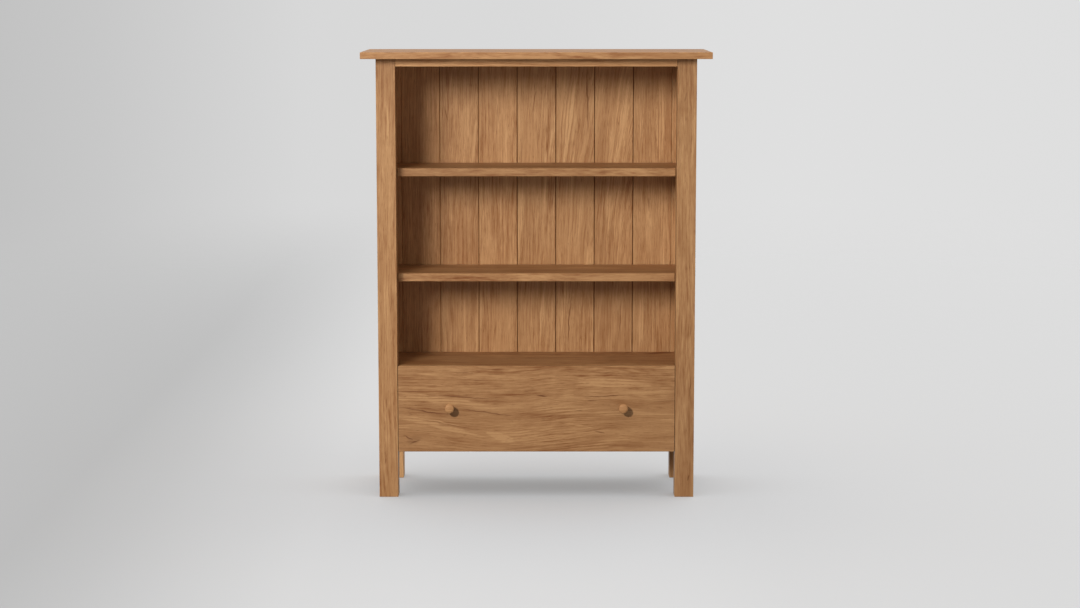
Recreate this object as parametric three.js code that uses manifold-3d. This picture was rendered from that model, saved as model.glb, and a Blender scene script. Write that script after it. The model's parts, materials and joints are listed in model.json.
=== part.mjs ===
// A free-standing bookcase: four square posts, a boarded back, two adjustable shelves and one wide
// inset drawer with two turned knobs, under an overhanging top.
// Millimetres. +Z is up, +Y points to the wall, and +X is to the right of someone facing the front.
// The origin is on the floor, at the middle of the bounding box. Pieces are worked out with Y = 0 on
// the front faces of the posts, and the outer group moves them to that origin.

import * as THREE from "three";
import { mergeVertices } from "three/addons/utils/BufferGeometryUtils.js";
import Module from "manifold-3d";

const wasm = await Module();
wasm.setup();

// Case
const height = 1219; // floor to the upper face of the top
const caseWidth = 864; // across the outer faces of the posts
const caseDepth = 305; // front faces of the front posts to rear faces of the rear posts
const postSide = 52; // the posts are square
const legHeight = 127; // floor to the lower edge of the case
const arris = 1.2; // chamfer along the edges
const glueGap = 0.3; // between faces that are fixed to each other
const overrun = 1; // how far a cut runs past the face that it opens

// Top
const topThickness = 18;
const topSideOverhang = 39;
const topFrontOverhang = 39;

// Side panels, with a tongue along both upright edges, and the cleats that the top is screwed to
const panelThickness = 20;
const tongueThickness = 8;
const tongueLength = 10;
const cleatSide = 18;

// Rails, tenoned into the posts
const railThickness = 20;
const frontTopRailHeight = 21;
const frontBottomRailInset = 1; // its rear face to the line of the posts' rear faces
const frontBottomRailThickness = 18;
const rearRailHeight = 60;
const rearRailThickness = 18;
const tenonTongueGap = 2; // a tenon's end to the line of the side panel's tongue
const tenonShoulder = 5;
const rearMiddleRailHeight = 620; // floor to the middle of the middle rear rail

// Back boards, tongued and grooved, with a V along each joint
const backBoardCount = 7;
const backBoardThickness = 12;
const backBoardSetIn = 1; // behind the front faces of the rear posts
const backTongueThickness = 4;
const backTongueLength = 5;
const vChamfer = 1.7;

// Deck, the fixed bottom of the open part, with a tongue at each end for a dado in the side panel
const deckTop = 365;
const deckThickness = 20;
const deckTongueThickness = 10;
const dadoDepth = 6;

// Shelves, on pins in the side panels
const shelfThickness = 22;
const shelfSetback = 41; // front edge of a shelf behind the posts' front faces
const shelfEndGap = 2;
const shelfRearGap = 1;
const notchGap = 1; // round the front posts
const lowerShelfBottom = 593;
const holePitch = 32;
const shelfHoleSteps = 9; // hole rows between the two shelves
const spareHoles = 2; // rows above and below each shelf's own row
const pinRadius = 2.5;
const pinSeatGap = 0.3; // shelf above its pins, and round a pin in its hole
const pinReach = 9; // how far a pin stands out of the panel
const pinDepth = 8;
const pinHoleSpare = 2; // the hole past the pin's end
const pinCollarRim = 0.9; // the collar's edge round the pin
const pinCollarThickness = 1.2;
const pinInset = 22; // front and rear pins from the ends of the side panel's face
const pinSides = 12;

// Drawer front and knobs
const frontThickness = 20;
const frontSideGap = 1.2;
const frontBackGap = 1; // drawer front to the deck and the bottom rail behind it
const knobSpacing = 475;
const knobRise = 4.5; // knobs above the middle of the drawer front
const knobHeadRadius = 13;
const knobProjection = 28;
const knobBaseRadius = 7.5;
const knobSides = 28;
const knobBoreSpare = 2; // the bore past the screw's tip
// Each point is a share of the head radius and a share of the projection.
const knobProfileShares = [
  [0.5, 0.06],
  [0.4, 0.2],
  [0.4, 0.36],
  [0.56, 0.5],
  [0.88, 0.62],
  [1, 0.76],
  [0.93, 0.89],
  [0.66, 0.97],
  [0.33, 0.995],
];
const knobProfileSteps = 14;

// Screws
const knobScrewRadius = 2;
const knobScrewHeadRadius = 4.2;
const knobScrewHeadHeight = 2.4;
const knobScrewGrip = 12; // length inside the knob
const frontScrewRadius = 1.75;
const frontScrewHeadRadius = 3.6;
const frontScrewHeadHeight = 2.2;
const frontScrewGrip = 11; // length inside the drawer front
const frontScrewInset = 60; // from the ends of the drawer box
const frontScrewRise = 45; // from the drawer box's upper and lower edges
const screwSides = 12;
const screwClearance = 0.3;

// Drawer box, dovetailed at its four corners
const boxThickness = 13;
const boxUnderGap = 5; // under the box, to the bottom rail
const boxOverGap = 10; // over the box, to the deck
const boxRearGap = 9; // behind the box, to the line of the rear posts' front faces
const bottomThickness = 6;
const bottomRaise = 12; // lower edge of the box to the bottom's underside
const bottomGrooveDepth = 6;
const tailCount = 5;
const tailEndShare = 0.68; // a tail's width at its end, as a share of the pitch
const tailSlope = 1 / 7;

// Telescopic slides, one each side: three steel channels with two ball cages between them
const slideFrontGap = 2; // behind the drawer front
const slideRearGap = 6; // behind the slides, to the line of the rear posts' front faces
const slideTravelLoss = 5; // the full travel is this much shorter than the slides
const slideSpace = 13; // post's inner face to the side of the drawer box
const slideHeight = 45;
const slideRise = 72; // lower edge of the box to the slide's centre line
const slideSheet = 1.2;
const slideGap = 0.3; // between channel webs and cages
const cageSheet = 0.4;
const raceHeight = 3.8; // room for the balls between two flanges
const ballGap = 0.3; // a ball to the flanges of its race
const flangeGap = 2.8; // flanges of the cabinet channel to the side of the drawer box
const lipGap = 0.9; // a flange's turned-in lip to the channel inside it
const cageEndRoom = 10; // kept between the cages and the channels' ends at full travel
const cageEndGap = 0.8; // cage flange to the lip that holds it in
const ballsInRow = 5;
const ballSides = 8;
const ballRings = 5;
const slotSteps = 3;
const slotLength = 12; // screw slots and holes in the channels' webs
const slotWidth = 4.4;
const slotInset = 26; // from the ends of a channel
const stopTabHeight = 12; // a tab bent out of the cabinet channel's rear end, where the others stop
const stopTabGap = 0.8;
const battenHeight = 62;

const weldTolerance = 0.001;

// Derived places
const underTop = height - topThickness;
const caseHalf = caseWidth / 2;
const openHalf = caseHalf - postSide;
const rearPostFront = caseDepth - postSide;
const panelInner = openHalf + (postSide - panelThickness) / 2;
const panelOuter = panelInner + panelThickness;
const panelMiddle = (panelInner + panelOuter) / 2;
const tenonLength = (postSide - tongueThickness) / 2 - tenonTongueGap;
const backFace = rearPostFront + backBoardSetIn;
const backRear = backFace + backBoardThickness;
const boxHalf = openHalf - slideSpace;
const boxFront = frontThickness + glueGap;
const boxBack = rearPostFront - boxRearGap;
const boxBottom = legHeight + glueGap + frontBottomRailThickness + boxUnderGap;
const boxTop = deckTop - deckThickness - boxOverGap;
const boxHeight = boxTop - boxBottom;
const frontMiddle = (legHeight + deckTop) / 2;
const knobLevel = frontMiddle + knobRise;
const upperShelfBottom = lowerShelfBottom + shelfHoleSteps * holePitch;
const pinHoleDepth = pinDepth + pinHoleSpare;
const pinCollarRadius = pinRadius + pinCollarRim;
const knobBoreDepth = knobScrewGrip + knobBoreSpare;
const slideMiddle = boxBottom + slideRise;
const slideY = [frontThickness + slideFrontGap, rearPostFront - slideRearGap];
const slideLength = slideY[1] - slideY[0];
const slideTravel = slideLength - slideTravelLoss;
const cageLength = slideLength - slideTravel / 2 - cageEndRoom;
const ballRadius = raceHeight / 2 - ballGap;
const flangeReach = slideSpace - flangeGap;
const lipHeight = raceHeight - lipGap;

// Both ends of a length, the lower one first.
function span(a, b) {
  return [Math.min(a, b), Math.max(a, b)];
}

// A span made longer by the same amount at both ends.
function grown([low, high], by) {
  return [low - by, high + by];
}

// A closed geometry as a solid that can be joined and cut.
function solidFrom(geometry) {
  const bare = new THREE.BufferGeometry();
  bare.setAttribute("position", geometry.getAttribute("position"));
  if (geometry.index) bare.setIndex(geometry.index);
  const welded = mergeVertices(bare, weldTolerance);
  const mesh = new wasm.Mesh({
    numProp: 3,
    vertProperties: welded.getAttribute("position").array,
    triVerts: new Uint32Array(welded.index.array),
  });
  return new wasm.Manifold(mesh);
}

// The way an extruded outline turns: its two axes, then the axis that it is extruded along.
const turns = {
  x: new THREE.Matrix4().makeBasis(unit(0, 1, 0), unit(0, 0, 1), unit(1, 0, 0)),
  y: new THREE.Matrix4().makeBasis(unit(0, 0, 1), unit(1, 0, 0), unit(0, 1, 0)),
  z: new THREE.Matrix4(),
};

function unit(x, y, z) {
  return new THREE.Vector3(x, y, z);
}

// An outline extruded along an axis. Along x it is given in y and z, along y in z and x, and along z
// in x and y. Its two ends are chamfered by endEase.
function extruded(points, axis, [low, high], endEase = 0) {
  const shape = new THREE.Shape(points.map(([a, b]) => new THREE.Vector2(a, b)));
  const geometry = new THREE.ExtrudeGeometry(shape, {
    depth: high - low - 2 * endEase,
    steps: 1,
    bevelEnabled: endEase > 0,
    bevelThickness: endEase,
    bevelSize: endEase,
    bevelOffset: -endEase,
    bevelSegments: 1,
  });
  geometry.translate(0, 0, low + endEase);
  geometry.applyMatrix4(turns[axis]);
  return solidFrom(geometry);
}

// A rectangle with its corners cut off by ease.
function easedRectangle([a0, a1], [b0, b1], ease) {
  return [
    [a0 + ease, b0],
    [a1 - ease, b0],
    [a1, b0 + ease],
    [a1, b1 - ease],
    [a1 - ease, b1],
    [a0 + ease, b1],
    [a0, b1 - ease],
    [a0, b0 + ease],
  ];
}

// A length of timber along an axis, with chamfered long edges and, with endEase, chamfered ends.
function timber(axis, x, y, z, endEase = 0) {
  const sections = { x: [y, z, x], y: [z, x, y], z: [x, y, z] };
  const [a, b, length] = sections[axis];
  return extruded(easedRectangle(a, b, arris), axis, length, endEase);
}

// A sharp block, used for tenons and as a cutter.
function block(x, y, z) {
  const geometry = new THREE.BoxGeometry(x[1] - x[0], y[1] - y[0], z[1] - z[0]);
  geometry.translate((x[0] + x[1]) / 2, (y[0] + y[1]) / 2, (z[0] + z[1]) / 2);
  return solidFrom(geometry);
}

// A profile of radius and distance turned round an axis that runs through (p, q) along x or y.
function turned(profile, sides, axis, p, q) {
  const points = profile.map(([radius, along]) => new THREE.Vector2(radius, along));
  const geometry = new THREE.LatheGeometry(points, sides);
  if (axis === "x") geometry.rotateZ(-Math.PI / 2);
  if (axis === "x") geometry.translate(0, p, q);
  else geometry.translate(p, 0, q);
  return solidFrom(geometry);
}

// A round hole's cutter, from one place to another along x or y.
function drill(radius, sides, axis, [low, high], p, q) {
  const profile = [
    [0, low],
    [radius, low],
    [radius, high],
    [0, high],
  ];
  return turned(profile, sides, axis, p, q);
}

// Wood shows the grain direction of each kind of piece as a slightly different tone.
const wood = {
  upright: new THREE.MeshStandardMaterial({ color: 0xb0835a, roughness: 0.55, metalness: 0 }),
  level: new THREE.MeshStandardMaterial({ color: 0xa97b50, roughness: 0.55, metalness: 0 }),
  back: new THREE.MeshStandardMaterial({ color: 0xb1855b, roughness: 0.6, metalness: 0 }),
  box: new THREE.MeshStandardMaterial({ color: 0xc49a6c, roughness: 0.6, metalness: 0 }),
};
const steel = new THREE.MeshStandardMaterial({ color: 0xa9acae, roughness: 0.35, metalness: 1 });
const cageSteel = new THREE.MeshStandardMaterial({ color: 0xc3c5c7, roughness: 0.3, metalness: 1 });
const brass = new THREE.MeshStandardMaterial({ color: 0xb08d4f, roughness: 0.35, metalness: 1 });

// A solid as a named mesh whose own origin is at the middle of the piece.
function piece(name, solid, material) {
  const { vertProperties, triVerts } = solid.getMesh();
  const geometry = new THREE.BufferGeometry();
  geometry.setAttribute("position", new THREE.BufferAttribute(new Float32Array(vertProperties), 3));
  geometry.setIndex(new THREE.BufferAttribute(new Uint32Array(triVerts), 1));
  geometry.computeBoundingBox();
  const middle = geometry.boundingBox.getCenter(new THREE.Vector3());
  geometry.translate(-middle.x, -middle.y, -middle.z);
  geometry.computeVertexNormals();
  const mesh = new THREE.Mesh(geometry, material);
  mesh.name = name;
  mesh.position.copy(middle);
  return mesh;
}

const sides = [
  { word: "left", sign: -1 },
  { word: "right", sign: 1 },
];

// Rails and their tenons

const rails = {
  front_top_rail: {
    y: [0, railThickness],
    z: [underTop - frontTopRailHeight, underTop - glueGap],
  },
  front_bottom_rail: {
    y: [frontThickness + frontBackGap, postSide - frontBottomRailInset],
    z: [legHeight + glueGap, legHeight + glueGap + frontBottomRailThickness],
  },
  rear_top_rail: rearRail(underTop - glueGap - rearRailHeight / 2),
  rear_middle_rail: rearRail(rearMiddleRailHeight),
  rear_bottom_rail: rearRail(legHeight + rearRailHeight / 2),
};

// A rear rail stands behind the back boards, which are nailed to it.
function rearRail(middle) {
  const front = backRear + glueGap;
  return {
    y: [front, front + rearRailThickness],
    z: [middle - rearRailHeight / 2, middle + rearRailHeight / 2],
  };
}

function rail({ y, z }) {
  const body = timber("x", grown([-openHalf, openHalf], -glueGap), y, z);
  const tenonEnds = grown([-openHalf, openHalf], tenonLength);
  return body.add(block(tenonEnds, grown(y, -tenonShoulder), grown(z, -tenonShoulder)));
}

function mortise(sign, { y, z }) {
  const x = span(sign * (openHalf - overrun), sign * (openHalf + tenonLength + glueGap));
  const room = glueGap - tenonShoulder;
  return block(x, grown(y, room), grown(z, room));
}

// Posts, with a groove for the side panel's tongue and mortises for the rails

function post(sign, isRear) {
  const x = span(sign * openHalf, sign * caseHalf);
  const y = isRear ? [rearPostFront, caseDepth] : [0, postSide];
  const grooveX = span(
    sign * (panelMiddle - tongueThickness / 2 - glueGap),
    sign * (panelMiddle + tongueThickness / 2 + glueGap),
  );
  const deep = tongueLength + glueGap;
  const grooveY = isRear
    ? [rearPostFront - overrun, rearPostFront + deep]
    : [postSide - deep, postSide + overrun];
  let solid = timber("z", x, y, [0, underTop - glueGap], arris);
  solid = solid.subtract(block(grooveX, grooveY, [legHeight - glueGap, height]));
  for (const [name, shape] of Object.entries(rails)) {
    const meetsThisPost = name.startsWith("rear") === isRear;
    if (meetsThisPost) solid = solid.subtract(mortise(sign, shape));
  }
  return solid;
}

// Side panels, with a housing for the deck and rows of pin holes

const panelY = [postSide + glueGap, rearPostFront - glueGap];
const pinColumns = [panelY[0] + pinInset, panelY[1] - pinInset];

const deckTongueZ = [deckTop - deckThickness, deckTop - deckThickness + deckTongueThickness];

// Centre height of the pins that carry a shelf with this underside.
function pinRow(shelfBottom) {
  return shelfBottom - pinSeatGap - pinRadius;
}

function sidePanel(sign) {
  const tongueX = [panelMiddle - tongueThickness / 2, panelMiddle + tongueThickness / 2];
  const tips = grown(panelY, tongueLength - glueGap);
  const outline = [
    [panelInner, panelY[0]],
    [tongueX[0], panelY[0]],
    [tongueX[0], tips[0]],
    [tongueX[1], tips[0]],
    [tongueX[1], panelY[0]],
    [panelOuter, panelY[0]],
    [panelOuter, panelY[1]],
    [tongueX[1], panelY[1]],
    [tongueX[1], tips[1]],
    [tongueX[0], tips[1]],
    [tongueX[0], panelY[1]],
    [panelInner, panelY[1]],
  ];
  const placed = sign > 0 ? outline : outline.map(([x, y]) => [-x, y]).reverse();
  let solid = extruded(placed, "z", [legHeight, underTop - glueGap]);
  const dado = [panelInner - overrun, panelInner + dadoDepth + glueGap];
  const dadoX = span(sign * dado[0], sign * dado[1]);
  solid = solid.subtract(block(dadoX, grown(panelY, overrun), grown(deckTongueZ, glueGap)));
  const holeX = span(sign * (panelInner - overrun), sign * (panelInner + pinHoleDepth));
  for (const shelfBottom of [lowerShelfBottom, upperShelfBottom]) {
    for (const y of pinColumns) {
      for (let row = -spareHoles; row <= spareHoles; row += 1) {
        const z = pinRow(shelfBottom) + row * holePitch;
        solid = solid.subtract(drill(pinRadius + pinSeatGap, pinSides, "x", holeX, y, z));
      }
    }
  }
  return solid;
}

function shelfPin(sign, y, shelfBottom) {
  const face = panelInner - glueGap;
  const profile = [
    [0, face - pinReach],
    [pinRadius, face - pinReach],
    [pinRadius, face - pinCollarThickness],
    [pinCollarRadius, face - pinCollarThickness],
    [pinCollarRadius, face],
    [pinRadius, face],
    [pinRadius, face + pinDepth],
    [0, face + pinDepth],
  ];
  const placed = sign > 0 ? profile : profile.map(([r, x]) => [r, -x]).reverse();
  return turned(placed, pinSides, "x", y, pinRow(shelfBottom));
}

// Level boards: outlines in plan, with all their edges chamfered

// A board that fits between the side panels and is notched round the front posts.
function notchedOutline(front, rear, endHalf, noseHalf, notchRear) {
  return [
    [-noseHalf, front],
    [noseHalf, front],
    [noseHalf, notchRear],
    [endHalf, notchRear],
    [endHalf, rear],
    [-endHalf, rear],
    [-endHalf, notchRear],
    [-noseHalf, notchRear],
  ];
}

function shelf(bottom) {
  const outline = notchedOutline(
    shelfSetback,
    rearPostFront - shelfRearGap,
    panelInner - shelfEndGap,
    openHalf - notchGap,
    postSide + notchGap,
  );
  return extruded(outline, "z", [bottom, bottom + shelfThickness], arris);
}

function deck() {
  const outline = notchedOutline(
    frontThickness + frontBackGap,
    rearPostFront - glueGap,
    panelInner - glueGap,
    openHalf - glueGap,
    postSide + glueGap,
  );
  const board = extruded(outline, "z", [deckTop - deckThickness, deckTop], arris);
  const tongueEnd = panelInner + dadoDepth;
  return board.add(block([-tongueEnd, tongueEnd], grown(panelY, -arris), deckTongueZ));
}

function topBoard() {
  const half = caseHalf + topSideOverhang;
  return timber("x", [-half, half], [-topFrontOverhang, caseDepth], [underTop, height], arris);
}

// Back boards

function backBoard(index) {
  const pitch = (2 * openHalf) / backBoardCount;
  const [low, high] = grown([-openHalf + index * pitch, -openHalf + (index + 1) * pitch], -glueGap / 2);
  const middle = (backFace + backRear) / 2;
  const tongue = [middle - backTongueThickness / 2, middle + backTongueThickness / 2];
  const groove = grown(tongue, glueGap);
  const tongueTip = high + backTongueLength;
  const grooveRoot = low + backTongueLength + glueGap;
  const tongueCorners = [
    [high, tongue[0]],
    [tongueTip, tongue[0]],
    [tongueTip, tongue[1]],
    [high, tongue[1]],
  ];
  const grooveCorners = [
    [low, groove[1]],
    [grooveRoot, groove[1]],
    [grooveRoot, groove[0]],
    [low, groove[0]],
  ];
  const isFirst = index === 0;
  const isLast = index === backBoardCount - 1;
  const outline = [
    [low + vChamfer, backFace],
    [high - vChamfer, backFace],
    [high, backFace + vChamfer],
    ...(isLast ? [] : tongueCorners),
    [high, backRear],
    [low, backRear],
    ...(isFirst ? [] : grooveCorners),
    [low, backFace + vChamfer],
  ];
  return extruded(outline, "z", [legHeight, underTop - glueGap]);
}

// A cleat in the corner of a side panel and the top
function cleat(sign) {
  const face = panelInner - glueGap;
  const top = underTop - glueGap;
  return timber("y", span(sign * (face - cleatSide), sign * face), panelY, [top - cleatSide, top]);
}

// Battens that bring the slides flush with the posts' inner faces

function batten(sign) {
  const x = span(sign * openHalf, sign * (panelInner - glueGap));
  const z = [slideMiddle - battenHeight / 2, slideMiddle + battenHeight / 2];
  return timber("y", x, panelY, z);
}

// Drawer

// The upright edge of a tail, as [distance from the board's end, height], for one end of a side.
function tail(index, shrink, from, to) {
  const pitch = boxHeight / tailCount;
  const middle = boxBottom + (index + 1 / 2) * pitch;
  const halfAt = (along) => (tailEndShare * pitch) / 2 - along * tailSlope - shrink;
  return [
    [from, middle - halfAt(from)],
    [to, middle - halfAt(to)],
    [to, middle + halfAt(to)],
    [from, middle + halfAt(from)],
  ];
}

// The two ends of the drawer box, as functions from a distance along the board to Y.
const boxEnds = {
  front: (along) => boxFront + along,
  back: (along) => boxBack - along,
};

// A drawer side: one outline with tails at both ends.
function boxSide(sign) {
  const shoulder = boxThickness + glueGap;
  const up = [];
  const down = [];
  for (let index = 0; index < tailCount; index += 1) {
    const [rootLow, endLow, endHigh, rootHigh] = tail(index, glueGap / 2, shoulder, 0);
    up.push(rootLow, endLow, endHigh, rootHigh);
  }
  for (const [along, z] of up) down.unshift([boxEnds.front(along), z]);
  const outline = [
    [boxEnds.front(shoulder), boxBottom],
    [boxEnds.back(shoulder), boxBottom],
    ...up.map(([along, z]) => [boxEnds.back(along), z]),
    [boxEnds.back(shoulder), boxTop],
    [boxEnds.front(shoulder), boxTop],
    ...down,
  ];
  const x = span(sign * (boxHalf - boxThickness), sign * boxHalf);
  return extruded(outline, "x", x).subtract(bottomGroove());
}

// Room for the drawer's bottom, with its edges let into all four sides of the box.
function bottomGroove() {
  const x = boxHalf - boxThickness + bottomGrooveDepth;
  const inset = boxThickness - bottomGrooveDepth;
  const y = [boxEnds.front(inset), boxEnds.back(inset)];
  const low = boxBottom + bottomRaise;
  return block([-x, x], y, [low, low + bottomThickness + glueGap]);
}

// The box's front or back: a board whose ends are cut away where the tails pass through.
function pinBoard(end) {
  const y = span(end(0), end(boxThickness));
  let solid = timber("x", [-boxHalf, boxHalf], y, [boxBottom, boxTop]);
  for (const { sign } of sides) {
    const x = span(sign * (boxHalf - boxThickness - glueGap), sign * (boxHalf + overrun));
    for (let index = 0; index < tailCount; index += 1) {
      const corners = tail(index, -glueGap / 2, boxThickness + overrun, -overrun);
      const outline = corners.map(([along, z]) => [end(along), z]);
      const facing = end === boxEnds.front ? outline.reverse() : outline;
      solid = solid.subtract(extruded(facing, "x", x));
    }
  }
  return solid.subtract(bottomGroove());
}

function boxBottomPanel() {
  const x = boxHalf - boxThickness + bottomGrooveDepth - glueGap;
  const inset = boxThickness - bottomGrooveDepth + glueGap;
  const y = [boxEnds.front(inset), boxEnds.back(inset)];
  const low = boxBottom + bottomRaise + glueGap / 2;
  return block([-x, x], y, [low, low + bottomThickness]);
}

const knobX = [-knobSpacing / 2, knobSpacing / 2];
const frontScrewPlaces = [];
for (const { word, sign } of sides) {
  const x = sign * (boxHalf - frontScrewInset);
  frontScrewPlaces.push({ name: "upper_" + word, x, z: boxTop - frontScrewRise });
  frontScrewPlaces.push({ name: "lower_" + word, x, z: boxBottom + frontScrewRise });
}

// Screw holes through a board: right through for the knobs, and from the back for the front's screws.
function withScrewHoles(solid, knobSpan, screwSpan) {
  let drilled = solid;
  for (const x of knobX) {
    const radius = knobScrewRadius + screwClearance;
    drilled = drilled.subtract(drill(radius, screwSides, "y", knobSpan, x, knobLevel));
  }
  for (const { x, z } of frontScrewPlaces) {
    const radius = frontScrewRadius + screwClearance;
    drilled = drilled.subtract(drill(radius, screwSides, "y", screwSpan, x, z));
  }
  return drilled;
}

function drawerFront() {
  const half = openHalf - frontSideGap;
  const board = timber("x", [-half, half], [0, frontThickness], [legHeight, deckTop], arris);
  const through = [-overrun, frontThickness + overrun];
  const blind = [boxFront - frontScrewGrip - glueGap, frontThickness + overrun];
  return withScrewHoles(board, through, blind);
}

function boxFrontBoard() {
  const through = grown([boxFront, boxFront + boxThickness], overrun);
  return withScrewHoles(pinBoard(boxEnds.front), through, through);
}

// A turned knob, drilled from behind for its screw. It stands out along -Y.
function knob(x) {
  const curve = new THREE.SplineCurve(
    knobProfileShares.map(
      ([radius, along]) => new THREE.Vector2(radius * knobHeadRadius, along * knobProjection),
    ),
  );
  const bore = knobScrewRadius + screwClearance;
  const profile = [
    [0, knobBoreDepth],
    [bore, knobBoreDepth],
    [bore, 0],
    [knobBaseRadius, 0],
    ...curve.getPoints(knobProfileSteps).map((point) => [point.x, point.y]),
    [0, knobProjection],
  ];
  const forwards = profile.map(([radius, along]) => [radius, -glueGap - along]).reverse();
  return turned(forwards, knobSides, "y", x, knobLevel);
}

// A pan-head screw driven from inside the drawer, with its head against the box's front.
function screw(x, z, tip, radius, headRadius, headHeight) {
  const seat = boxFront + boxThickness + glueGap;
  const profile = [
    [0, tip],
    [radius, tip],
    [radius, seat],
    [headRadius, seat],
    [headRadius, seat + headHeight / 2],
    [radius, seat + headHeight],
    [0, seat + headHeight],
  ];
  return turned(profile, screwSides, "y", x, z);
}

// Slides. Sections are given as the distance out of the post's face and the height above the slide's
// centre line, and are the same on both sides of the drawer.

const cageY = grown([(slideY[0] + slideY[1]) / 2, (slideY[0] + slideY[1]) / 2], cageLength / 2);
const raceStep = slideSheet + raceHeight;

// The outline of a C-shaped section. Its web lies between webNear and webFar, its flanges reach to
// flangeEnd, and lip is how far the ends of the flanges turn in, with 0 for none.
function channelOutline([webNear, webFar], flangeEnd, half, sheet, lip) {
  const inner = half - sheet;
  const lipRoot = flangeEnd - Math.sign(flangeEnd - webNear) * sheet;
  const upper = [
    [webNear, half],
    [flangeEnd, half],
    [flangeEnd, inner - lip],
    [lipRoot, inner - lip],
    [lipRoot, inner],
    [webFar, inner],
  ];
  const plain = [
    [webNear, half],
    [flangeEnd, half],
    [flangeEnd, inner],
    [webFar, inner],
  ];
  const chosen = lip > 0 ? upper : plain;
  const lower = chosen.map(([u, v]) => [u, -v]).reverse();
  return [...chosen, ...lower];
}

// A slide section as a solid along Y on one side of the drawer.
function slideSection(sign, outline, y) {
  const placed = outline.map(([u, v]) => [slideMiddle + v, sign * (openHalf - u)]);
  const facing = THREE.ShapeUtils.isClockWise(placed.map(([z, x]) => new THREE.Vector2(z, x)));
  return extruded(facing ? placed.reverse() : placed, "y", y);
}

const cabinetWeb = [slideGap, slideGap + slideSheet];
const outerCageWeb = [cabinetWeb[1] + slideGap, cabinetWeb[1] + slideGap + cageSheet];
const middleWeb = [outerCageWeb[1] + slideGap, outerCageWeb[1] + slideGap + slideSheet];
const innerCageWeb = [middleWeb[1] + slideGap, middleWeb[1] + slideGap + cageSheet];
const drawerWeb = [slideSpace - slideGap, slideSpace - slideGap - slideSheet];
const middleReach = flangeReach + slideGap * 2;
const middleHalf = slideHeight / 2 - raceStep;
const drawerHalf = middleHalf - raceStep;

// A slot through a web, with round ends, centred at y on the slide's centre line.
function slot(sign, web, y) {
  const [near, far] = grown(span(...web), overrun / 2);
  const x = span(sign * (openHalf - near), sign * (openHalf - far));
  const reach = (slotLength - slotWidth) / 2;
  const outline = new THREE.Path();
  outline.absarc(y + reach, slideMiddle, slotWidth / 2, -Math.PI / 2, Math.PI / 2);
  outline.absarc(y - reach, slideMiddle, slotWidth / 2, Math.PI / 2, (Math.PI * 3) / 2);
  const points = outline.getPoints(slotSteps).map((point) => [point.x, point.y]);
  return extruded(points, "x", x);
}

function withSlots(solid, sign, web, [front, rear]) {
  return [front + slotInset, (front + rear) / 2, rear - slotInset].reduce(
    (slotted, y) => slotted.subtract(slot(sign, web, y)),
    solid,
  );
}

function cabinetChannel(sign) {
  const outline = channelOutline(cabinetWeb, flangeReach, slideHeight / 2, slideSheet, lipHeight);
  const channel = withSlots(slideSection(sign, outline, slideY), sign, cabinetWeb, slideY);
  const tabOutline = easedRectangle(
    [cabinetWeb[0], flangeReach - slideSheet],
    [-stopTabHeight / 2, stopTabHeight / 2],
    arris,
  );
  return channel.add(slideSection(sign, tabOutline, [slideY[1] - slideSheet, slideY[1]]));
}

const movingY = [slideY[0], slideY[1] - slideSheet - stopTabGap];

function middleChannel(sign) {
  const outline = channelOutline(middleWeb, middleReach, middleHalf, slideSheet, lipHeight);
  return withSlots(slideSection(sign, outline, movingY), sign, middleWeb, movingY);
}

// The drawer's channel opens towards the cabinet, with its web against the side of the box.
function drawerChannel(sign) {
  const tip = innerCageWeb[1] + slideGap;
  const outline = channelOutline(drawerWeb, tip, drawerHalf, slideSheet, 0);
  return withSlots(slideSection(sign, outline, movingY), sign, drawerWeb, movingY);
}

// A cage: a thin channel whose flanges lie in the two races, with a row of balls along each.
function ballCage(sign, web, outerHalf, reach) {
  const raceMiddle = outerHalf - slideSheet - raceHeight / 2;
  const half = raceMiddle + cageSheet / 2;
  const flangeEnd = reach - slideSheet - cageEndGap;
  let solid = slideSection(sign, channelOutline(web, flangeEnd, half, cageSheet, 0), cageY);
  const ballU = (web[1] + flangeEnd) / 2;
  const pitch = cageLength / ballsInRow;
  for (const v of [-raceMiddle, raceMiddle]) {
    for (let index = 0; index < ballsInRow; index += 1) {
      const ball = new THREE.SphereGeometry(ballRadius, ballSides, ballRings);
      const y = cageY[0] + (index + 1 / 2) * pitch;
      ball.translate(sign * (openHalf - ballU), y, slideMiddle + v);
      solid = solid.add(solidFrom(ball));
    }
  }
  return solid;
}

// The whole bookcase

function carcass() {
  const group = new THREE.Group();
  group.add(piece("top", topBoard(), wood.level));
  for (const { word, sign } of sides) {
    group.add(piece("front_" + word + "_post", post(sign, false), wood.upright));
    group.add(piece("rear_" + word + "_post", post(sign, true), wood.upright));
    group.add(piece(word + "_side_panel", sidePanel(sign), wood.upright));
    group.add(piece(word + "_top_cleat", cleat(sign), wood.box));
    group.add(piece(word + "_slide_batten", batten(sign), wood.box));
  }
  for (const [name, shape] of Object.entries(rails)) group.add(piece(name, rail(shape), wood.level));
  group.add(piece("deck", deck(), wood.level));
  for (let index = 0; index < backBoardCount; index += 1) {
    group.add(piece("back_board_" + (index + 1), backBoard(index), wood.back));
  }
  return group;
}

function shelves() {
  const group = new THREE.Group();
  const levels = { lower: lowerShelfBottom, upper: upperShelfBottom };
  for (const [level, bottom] of Object.entries(levels)) {
    group.add(piece(level + "_shelf", shelf(bottom), wood.level));
    for (const { word, sign } of sides) {
      const [front, rear] = pinColumns;
      group.add(piece(level + "_shelf_pin_front_" + word, shelfPin(sign, front, bottom), brass));
      group.add(piece(level + "_shelf_pin_rear_" + word, shelfPin(sign, rear, bottom), brass));
    }
  }
  return group;
}

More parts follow.
